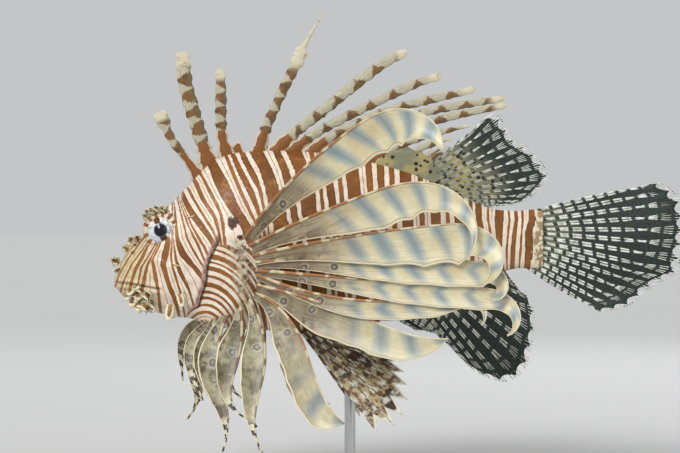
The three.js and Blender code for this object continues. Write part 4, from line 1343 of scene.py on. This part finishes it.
# Soft fins: piece, node, whether the base is spotted, count of rays, sway of the rim, dashes along a ray,
# share of a ray's full thickness, root line, rim line
SOFT_FINS = (
    ("soft_dorsal", "soft_dorsal_fin", True, 19, 1.2, 8.5, 0.62,
     ((25, 169.5), (44, 163.5), (69, 151.5)),
     ((50, 180), (66, 192), (78.5, 203), (89.5, 189), (97.9, 183.5), (104.5, 176.5), (108.3, 168.3),
      (104.5, 163.3), (99, 157.8), (90.8, 154.2), (74, 151.8))),
    ("anal", "anal_fin", False, 15, -1.0, 7.5, 0.8,
     ((20, 95.5), (50, 103), (78, 118.4)),
     ((36, 84.7), (49.5, 81.9), (55, 76.4), (63.3, 67.1), (71.5, 61), (85.3, 57.2), (94.6, 62.7),
      (99, 76.4), (100.7, 87.4), (99, 101.2), (93.5, 106.7), (85.3, 117.5))),
    ("tail", "tail_fin", False, 14, 2.5, 10.5, 1.0,
     ((105, 151), (107.5, 142), (107.5, 134), (104, 126), (98.5, 118.4)),
     ((168.9, 165.5), (174.9, 161.7), (181, 154), (183, 143.5), (181, 128), (178.8, 116.6),
      (168.9, 111), (162.3, 106.7), (154, 99.5), (137.5, 94.6))),
)
# Share of a soft ray's period that is white, and the colour between
SOFT_DASH = 0.68
SOFT_GAP = (0.035, 0.045, 0.035)
# Share of a soft ray's length where its strands part
FORK = 0.55


def even_rim(rim, u):
    """Points at shares u of the length of a rim line."""
    fine = xz_path(rim, np.linspace(0, 1, 401))
    reach = reach_along(fine)
    return np.stack([np.interp(u * reach[-1], reach, column) for column in fine.T], axis=-1)


def web_grid(count, rows, start):
    """Shares across and up a web of count rays, and how near a share is to a ray: 1 on it, 0 midway."""
    u = np.linspace(0, 1, (count - 1) * 8 + 1)
    v = np.linspace(start, 1, rows + 1)[:, None]
    return u, v, np.abs(((u * (count - 1)) % 1) - 0.5) * 2


def add_front_web(heap):
    """Thicker olive web that joins the last short spines to the soft dorsal fin."""
    u = np.linspace(0, 1, 25)
    v = np.linspace(0, 1, 9)[:, None]
    foot = xz_path(((10, 171), (25, 166), (38, 161), (48, 157)), u)
    tip = xz_path(((17, 182), (29, 185), (41, 182), (52, 171)), u)
    notch = 1 - 0.06 * np.abs(np.sin(u * 20))
    middle = foot + (tip - foot) * (v * notch)[..., None]
    half = (2.7 - 1.3 * v) * (1 - 0.85 * smooth(u, 0.72, 1.0))
    heap.add_plate(middle, SIDEWAYS, half, along=v * 15.0, across=u * 8, root=1.0)


def ray_strands(share, step):
    """The strands of one soft ray: two side by side that part into four at the rim."""
    for half in (-1, 1):
        for branch in (-1, 1):
            t = np.linspace(-0.04 if branch < 0 else FORK, 1.02, 60 if branch < 0 else 30)
            parted = smooth(t, FORK, 1.0)
            yield t, np.clip(share + (half * 0.20 + branch * 0.09) * step * parted, 0, 1), half


def soft_web(name, node, spotted, count, sway, root, rim):
    """Thin web of a soft fin, notched a little between its rays."""
    u, v, near_ray = web_grid(count, 28, -0.04)
    foot = xz_path(root, u)
    middle = foot + (even_rim(rim, u) - foot) * v[..., None]
    middle[..., 1] = sway * v * np.sin(u * 7 + v * 3)
    notch = 1 - 0.05 * (1 - near_ray ** 2) * smooth(v, 0.8, 1.0)
    foot = middle[0]
    middle = foot + (middle - foot) * notch[..., None]
    near = 1 - smooth(v, 0.35, 0.75) if spotted else 1 - smooth(v, 0.05, 0.3)
    heap = Heap()
    heap.add_plate(
        middle, SIDEWAYS, sizes().web_thickness / MM / 2,
        along=np.linalg.norm(middle - foot, axis=-1), across=u * (count - 1), root=near,
    )
    if spotted:
        add_front_web(heap)
    dress(heap.piece(name + "_web", smoky_material(name + " web", spotted)), "soft_fin", node)


def soft_rays(name, node, spotted, count, sway, dashes, radius, root, rim):
    """Rays of a soft fin, each of strands that part towards the rim."""
    paths, radii, marks, roots = [], [], [], []
    step = 1 / (count - 1)
    for k in range(count):
        for t, at, half_side in ray_strands(k * step, step):
            foot = xz_path(root, at)
            tip = even_rim(rim, at)
            path = foot + (tip - foot) * t[:, None]
            heading = unit(tip[:1] - foot[:1])[0]
            beside = np.array([-heading[2], 0.0, heading[0]])
            spread = radius * 1.1 * (1 - smooth(t, FORK, 0.9)) * smooth(t, -0.1, 0.25)
            path = path + beside * (half_side * spread)[:, None]
            path[:, 1] = sway * t * np.sin(at * 7 + t * 3)
            paths.append(path)
            radii.append(np.maximum(radius * (1.0 - 0.62 * smooth(t, 0.35, 1.0)), 0.27))
            marks.append(t * dashes + 0.14 * math.sin(k * 2.4) + 0.03 * half_side)
            roots.append((1 - smooth(t, 0.25, 0.6)) * (0.85 if spotted else 0.0))
    paint = ray_material(name + " rays", SOFT_DASH, SOFT_GAP)
    dress(rods(name + "_rays", paths, radii, paint, along=marks, root=roots), "soft_fin", node)


def build_soft_fins():
    """Soft dorsal, anal and tail fins: a web and its rays for each."""
    for name, node, spotted, count, sway, dashes, thick, root, rim in SOFT_FINS:
        radius = sizes().ray_radius / MM * thick
        soft_web(name, node, spotted, count, sway, root, rim)
        soft_rays(name, node, spotted, count, sway, dashes, radius, root, rim)


# Pelvic fins: count of rays, root line and rim line; the right one is held a little further forward and up
PELVIC_RAYS = 7
PELVIC_ROOT = ((-17, 84.5), (-22, 84), (-27.5, 85))
PELVIC_RIM = ((26, 70), (28.5, 63.8), (30, 57), (30.5, 49), (28, 40.5), (24, 34.5), (14.5, 31))
RIGHT_PELVIC_MOVE = (-9.0, 4.0)
# Share of a pelvic ray's period that is pale
PELVIC_DASH = 0.35


def pelvic_points(side, u, t):
    """Points of a pelvic fin at shares u across it and t of its length."""
    foot, tip = xz_path(PELVIC_ROOT, u), xz_path(PELVIC_RIM, u)
    points = foot + (tip - foot) * t[:, None]
    if side > 0:
        points[:, 0] += RIGHT_PELVIC_MOVE[0] * t
        points[:, 2] += RIGHT_PELVIC_MOVE[1] * t
    points[:, 1] = side * (9 + 24 * t - 5 * u * t)
    return points


def build_pelvics():
    """Pelvic fins, each a slanting web with its rays."""
    for side, word in SIDES:
        node = "pelvic_fin_" + word
        u, v, near_ray = web_grid(PELVIC_RAYS, 24, -0.06)
        shares = v * (1 - 0.13 * (1 - near_ray) * smooth(v, 0.6, 1.0))
        middle = np.stack([pelvic_points(side, u, t) for t in shares])
        across = unit(np.cross(np.gradient(middle, axis=0), np.gradient(middle, axis=1)))
        heap = Heap()
        heap.add_plate(
            middle, across, sizes().web_thickness / MM / 2 + 0.05,
            rim=v, along=np.linalg.norm(middle - middle[0], axis=-1), beside=u * (PELVIC_RAYS - 1),
        )
        dress(heap.piece("pelvic_web_" + word, pelvic_material()), "pelvic_skin", node)
        paths, radii, marks = [], [], []
        t = np.linspace(-0.06, 1.0, 40)
        for k in range(PELVIC_RAYS):
            path = pelvic_points(side, np.full(len(t), k / (PELVIC_RAYS - 1)), t)
            paths.append(path)
            radii.append(0.75 - 0.5 * np.clip(t, 0, 1))
            marks.append(reach_along(path) / 11.0 + 0.4 * k)
        material = ray_material("pelvic rays", PELVIC_DASH, colours().pelvic)
        dress(rods("pelvic_rays_" + word, paths, radii, material, along=marks), "pelvic_skin", node)


# Pectoral rays: root, heading, turn over the length, hook of the tip, where the hook starts, length,
# widest reach of the web, where it is reached, where it falls and how bluntly, first ringed spot, and how
# ringed, banded and mottled it is
PECTORAL = (
    ((-58.2, 133.3), 55, -35, -123, 0.58, 146, 21, 0.65, 0.66, 2.6, 14, 1, 1, 0.0),
    ((-56.8, 130.0), 27, -15, -132, 0.49, 152, 22, 0.60, 0.50, 1.5, 20, 0, 1, 0.0),
    ((-54.6, 125.3), 14, -14, -175, 0.64, 162, 22, 0.65, 0.66, 1.8, 24, 0, 1, 0.0),
    ((-52.7, 122.3), 5, -12, -216, 0.75, 156, 14, 0.60, 0.70, 2.0, 28, 1, 1, 0.0),
    ((-51.2, 118.1), -4, 0, -164, 0.74, 159, 12, 0.60, 0.70, 2.0, 26, 1, 1, 0.0),
    ((-50.2, 115.7), -22, 42, -164, 0.77, 134, 10, 0.50, 0.70, 1.4, 20, 1, 1, 0.0),
    ((-50.2, 110.3), -12, -15, 33, 0.63, 105, 17, 0.40, 0.68, 2.2, 16, 1, 1, 0.0),
    ((-50.6, 106.0), -24, -100, 89, 0.41, 85, 15, 0.40, 0.70, 5.0, 12, 1, 1, 0.1),
    ((-54.1, 102.1), -57, -88, 89, 0.49, 83, 13, 0.40, 0.45, 0, 10, 1, 0, 0.3),
    ((-59.3, 98.6), -80, -50, 118, 0.53, 63, 12, 0.40, 0.45, 0, 9, 1, 0, 0.7),
    ((-66.4, 93.5), -118, 120, -113, 0.21, 73, 12, 0.35, 0.40, 0, 9, 1, 0, 0.8),
    ((-72.7, 92.5), -106, 44, 46, 0.81, 57, 9, 0.35, 0.40, 0, 8, 1, 0, 0.8),
    ((-75.0, 91.5), -135, 82, -8, 0.69, 47, 6, 0.35, 0.40, 0, 8, 1, 0, 0.8),
)
RAY_STEPS = 60
WEB_COLUMNS = 14
# How the fan stands out from the flank, in millimetres: share of a ray's length, step from ray to ray, root
FLARE = 0.28
STAGGER = 1.6
ROOT_DEPTH = 26.0
# The first of the lower rays, which are olive and end in threads
FIRST_OLIVE = 8
# Bands of the webs: distance of the first, distance between them, and how far they lean across each web,
# where the last value holds for all lower ones
BAND_FROM = 52.0
BAND_PERIOD = 15.5
BAND_SLANT = (0.5, 0.5, 0.5, 0.7, 0.7, 0.6, 0.35)
# Length of a feather's ringed part from its first spot on
SPOTTED_LENGTH = 26
# How the right fin is held: turn of its rays and of its last rays, share of the left one's length
LAST_RAYS = 10
RIGHT_TURN = -5
RIGHT_LAST_TURN = -22
RIGHT_SPAN = 0.94


def ray_line(ray, k, side):
    """Points, headings and shares of one pectoral ray on its side of the body, and its length."""
    root, heading, turn, hook, start, span = ray[:6]
    if side > 0:
        heading += RIGHT_LAST_TURN if k >= LAST_RAYS else RIGHT_TURN
        span *= RIGHT_SPAN
    finer = 6
    fine = np.linspace(0, 1, RAY_STEPS * finer + 1)
    hooked = np.clip((fine - start) / (1 - start), 0, 1) ** 1.7
    angle = np.radians(heading + turn * fine + hook * hooked)
    step = span / (RAY_STEPS * finer)
    x = root[0] + np.concatenate([[0], np.cumsum(np.cos(angle[:-1]) * step)])
    z = root[1] + np.concatenate([[0], np.cumsum(np.sin(angle[:-1]) * step)])
    inward = max(k - 6, 0) / 6
    spread = STAGGER * (12 - k) * np.minimum(1, fine / 0.3)
    depth = ROOT_DEPTH - inward ** 1.5 * 12 + FLARE * span * fine + spread
    points = np.stack([x, side * depth, z], axis=-1)
    return points[::finer], angle[::finer], fine[::finer], span


def web_width(ray, share, span):
    """Reach of the web at shares along its ray, blunt at the tip and no wider than the bend allows."""
    turn, hook, start, web, rise, fall, blunt = ray[2], ray[3], ray[4], *ray[6:10]
    grown = 0.25 + 0.75 * smooth(share, 0, rise)
    spent = np.clip((share - fall) / (1 - fall), 0, 1)
    shrunk = 1 - spent ** blunt if blunt else 1 - smooth(share, fall, 1)
    hooked = np.clip((share - start) / (1 - start), 0, 1)
    bend = np.abs(np.radians(turn + hook * 1.7 * hooked ** 0.7 / (1 - start)))
    return np.maximum(np.minimum(web * grown * shrunk, 0.8 * span / bend), 0.8)


def add_feather(heap, k, ray, points, angle, share, span):
    """Adds the web of one pectoral ray, and gives how far the ray is a bare thread there."""
    web = ray[6]
    spot_at, spotted, banded, mottled = ray[10:]
    distance = share * span
    down = np.stack([np.sin(angle), np.zeros_like(angle), -np.cos(angle)], axis=-1)
    across = unit(np.cross(unit(np.gradient(points, axis=0)), down))
    width = web_width(ray, share, span)
    wavy = 1 - (0.11 if k < 3 else 0.05) * np.abs(np.sin(share * 24 + k)) * smooth(share, 0.35, 0.6)
    c = np.linspace(0, 1, WEB_COLUMNS + 1)
    reach = (width * wavy)[:, None] * c
    cup = np.sin(c * np.pi) * width[:, None] * 0.07
    middle = points[:, None] + down[:, None] * reach[..., None] + across[:, None] * cup[..., None]
    lower = float(k >= FIRST_OLIVE)
    olive = max(lower, 0.25 * (k - 5)) * (1 - smooth(share, 0.6, 0.8) * (0.5 + 0.5 * lower))
    thread = lower * smooth(share, 0.4, 0.5) * (1 - smooth(width, 3.0, 5.5))
    slant = BAND_SLANT[min(k, len(BAND_SLANT) - 1)]
    bent = np.abs(c - 0.35) if 2 < k < 6 else c
    spots_end = smooth(distance, spot_at + SPOTTED_LENGTH, spot_at + SPOTTED_LENGTH + 1)
    rows = {
        "far": distance,
        "banded": banded * smooth(distance, 28, 62),
        "inner": 0.85 * (1 - smooth(distance, 26, 74)),
        "dusk": (0.75 if k > 2 else 0.3) * (1 - smooth(distance, 6, 44)),
        "olive": np.clip(olive, 0, 1),
        "spotted": spotted * smooth(distance, spot_at - 4, spot_at - 3) * (1 - spots_end),
        "filament": thread,
    }
    heap.add_plate(
        middle, across[:, None], sizes().web_thickness / MM / 2,
        deep=reach, across=c, feather=k * 7.3, spot_at=spot_at, spot_deep=min(web * 0.33, 5.0),
        band_at=(distance[:, None] - BAND_FROM) / BAND_PERIOD + 0.13 * math.sin(k * 1.9) - slant * bent,
        mottled=np.maximum(mottled, c ** 2 * (1 - smooth(distance, 30, 55))[:, None]),
        **{key: value[:, None] for key, value in rows.items()},
    )
    return thread


def build_pectorals():
    """Pectoral fins, each a fan of feathers: a web along every ray and the rays as rods."""
    web_material, line_material = feather_material(), shaft_material()
    for side, word in SIDES:
        node = "pectoral_fin_" + word
        heap = Heap()
        lines = {"far": [], "tip": [], "filament": [], "olive": []}
        paths, radii = [], []
        for k, ray in enumerate(PECTORAL):
            points, angle, share, span = ray_line(ray, k, side)
            thread = add_feather(heap, k, ray, points, angle, share, span)
            paths.append(points)
            radii.append(sizes().shaft_radius / MM * (1.0 - 0.68 * share))
            lines["far"].append(share * span + k * 3.1)
            lines["tip"].append(smooth(share, 0.45, 0.85))
            lines["filament"].append(thread)
            lines["olive"].append(np.full(len(share), float(k >= FIRST_OLIVE)))
        dress(heap.piece("pectoral_web_" + word, web_material), "feather_fin", node)
        dress(rods("pectoral_shafts_" + word, paths, radii, line_material, 10, **lines), "feather_fin", node)


def build_stand():
    """Base with rounded edges, and the steel of the rod."""
    lo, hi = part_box("stand_base")
    corners = [(x, y, z) for z in (lo.z, hi.z) for y in (lo.y, hi.y) for x in (lo.x, hi.x)]
    faces = [(0, 2, 3, 1), (4, 5, 7, 6), (0, 1, 5, 4), (2, 6, 7, 3), (0, 4, 6, 2), (1, 3, 7, 5)]
    base = new_piece("base_plate", corners, faces, base_material(), smooth_shading=False)
    bevel = base.modifiers.new("Edges", "BEVEL")
    bevel.width = sizes().base_bevel
    bevel.segments = 4
    dress(base, "stand_paint", "stand_base")
    rod = bpy.data.objects["stand_rod"]
    rod.data.materials.clear()
    rod.data.materials.append(steel_material())


def add_light(name, kind, power, place, aim, **settings):
    """A lamp at a place that shines towards its aim."""
    light = bpy.data.lights.new(name, kind)
    light.energy = power
    for key, value in settings.items():
        setattr(light, key, value)
    lamp = add_object(name, light)
    lamp.location = place
    lamp.rotation_euler = (Vector(aim) - Vector(place)).to_track_quat("-Z", "Y").to_euler()


FLOOR_REACH = 30.0
FLOOR_GREY = ((0.60, 0.60, 0.595), (0.62, 0.62, 0.615))
BACKGROUND = (0.84, 0.85, 0.86, 1)


def build_stage():
    """Floor, lights and camera."""
    s = Shader("floor", 0.9, 0.1)
    s.colour(s.mix(s.noise(3, 2), *FLOOR_GREY))
    reach = FLOOR_REACH
    corners = [(-reach, -reach, 0), (reach, -reach, 0), (reach, reach, 0), (-reach, reach, 0)]
    new_piece("floor", corners, [(0, 1, 2, 3)], s.material, smooth_shading=False)
    world = bpy.data.worlds.new("studio")
    world.use_nodes = True
    background = world.node_tree.nodes["Background"]
    background.inputs["Color"].default_value = BACKGROUND
    background.inputs["Strength"].default_value = 0.66
    bpy.context.scene.world = world
    bpy.context.scene.view_settings.view_transform = "Standard"
    add_light("key", "SUN", 2.1, (0, 0, 0), (0.5, 1.0, -0.8), angle=math.radians(25))
    add_light("fill", "AREA", 1.5, (0.9, -0.9, 0.5), (0.02, 0, 0.13), shape="DISK", size=1.0)
    add_light("back", "AREA", 3.0, (0.4, 1.1, 0.9), (0, 0, 0.14), shape="DISK", size=0.9)
    camera = bpy.data.cameras.new("camera")
    camera.sensor_width = SENSOR
    camera.lens = SENSOR * CAMERA_DISTANCE / (PHOTO_WIDTH * PIXEL)
    holder = add_object("camera", camera)
    holder.location = (CAMERA_X, -CAMERA_DISTANCE, CAMERA_Z)
    holder.rotation_euler = (math.pi / 2, 0, 0)
    bpy.context.scene.camera = holder


# Operators
class LIONFISH_OT_skin(bpy.types.Operator):
    """Builds the skin of the head, trunk and tail stalk with its markings"""

    bl_idname = "lionfish.skin"
    bl_label = "Build skin"

    def execute(self, context):
        build_skin()
        return {"FINISHED"}


class LIONFISH_OT_eyes(bpy.types.Operator):
    """Builds both eyes"""

    bl_idname = "lionfish.eyes"
    bl_label = "Build eyes"

    def execute(self, context):
        build_eyes()
        return {"FINISHED"}


class LIONFISH_OT_fringes(bpy.types.Operator):
    """Builds the tentacles and skin flaps of the head"""

    bl_idname = "lionfish.fringes"
    bl_label = "Build fringes"

    def execute(self, context):
        build_fringes()
        return {"FINISHED"}


class LIONFISH_OT_spines(bpy.types.Operator):
    """Builds the dorsal spines in their sheaths"""

    bl_idname = "lionfish.spines"
    bl_label = "Build dorsal spines"

    def execute(self, context):
        build_spines()
        return {"FINISHED"}


class LIONFISH_OT_soft_fins(bpy.types.Operator):
    """Builds the soft dorsal, anal and tail fins"""

    bl_idname = "lionfish.soft_fins"
    bl_label = "Build soft fins"

    def execute(self, context):
        build_soft_fins()
        return {"FINISHED"}


class LIONFISH_OT_pelvics(bpy.types.Operator):
    """Builds the pelvic fins"""

    bl_idname = "lionfish.pelvics"
    bl_label = "Build pelvic fins"

    def execute(self, context):
        build_pelvics()
        return {"FINISHED"}


class LIONFISH_OT_pectorals(bpy.types.Operator):
    """Builds the feathered pectoral fins"""

    bl_idname = "lionfish.pectorals"
    bl_label = "Build pectoral fins"

    def execute(self, context):
        build_pectorals()
        return {"FINISHED"}


class LIONFISH_OT_stand(bpy.types.Operator):
    """Builds the base and finishes the rod"""

    bl_idname = "lionfish.stand"
    bl_label = "Build stand"

    def execute(self, context):
        build_stand()
        return {"FINISHED"}


class LIONFISH_OT_stage(bpy.types.Operator):
    """Sets the floor, the lights and the camera"""

    bl_idname = "lionfish.stage"
    bl_label = "Set stage"

    def execute(self, context):
        build_stage()
        return {"FINISHED"}


OPERATORS = (
    LIONFISH_OT_stage,
    LIONFISH_OT_skin,
    LIONFISH_OT_eyes,
    LIONFISH_OT_fringes,
    LIONFISH_OT_spines,
    LIONFISH_OT_soft_fins,
    LIONFISH_OT_pelvics,
    LIONFISH_OT_pectorals,
    LIONFISH_OT_stand,
)


class LIONFISH_PT_panel(bpy.types.Panel):
    """Lists the pieces and their sizes"""

    bl_idname = "LIONFISH_PT_panel"
    bl_label = "Red lionfish"
    bl_space_type = "VIEW_3D"
    bl_region_type = "UI"
    bl_category = "Lionfish"

    def draw(self, context):
        layout = self.layout
        for operator in OPERATORS:
            layout.operator(operator.bl_idname)
        for group in (context.scene.lionfish_sizes, context.scene.lionfish_colours):
            for key in group.__annotations__:
                layout.prop(group, key)


CLASSES = (LionfishSizes, LionfishColours, *OPERATORS, LIONFISH_PT_panel)


def register():
    for item in CLASSES:
        bpy.utils.register_class(item)
    bpy.types.Scene.lionfish_sizes = PointerProperty(type=LionfishSizes)
    bpy.types.Scene.lionfish_colours = PointerProperty(type=LionfishColours)


def unregister():
    del bpy.types.Scene.lionfish_colours
    del bpy.types.Scene.lionfish_sizes
    for item in reversed(CLASSES):
        bpy.utils.unregister_class(item)


def main():
    register()
    for operator in OPERATORS:
        group, name = operator.bl_idname.split(".")
        getattr(getattr(bpy.ops, group), name)()


if __name__ == "__main__":
    main()
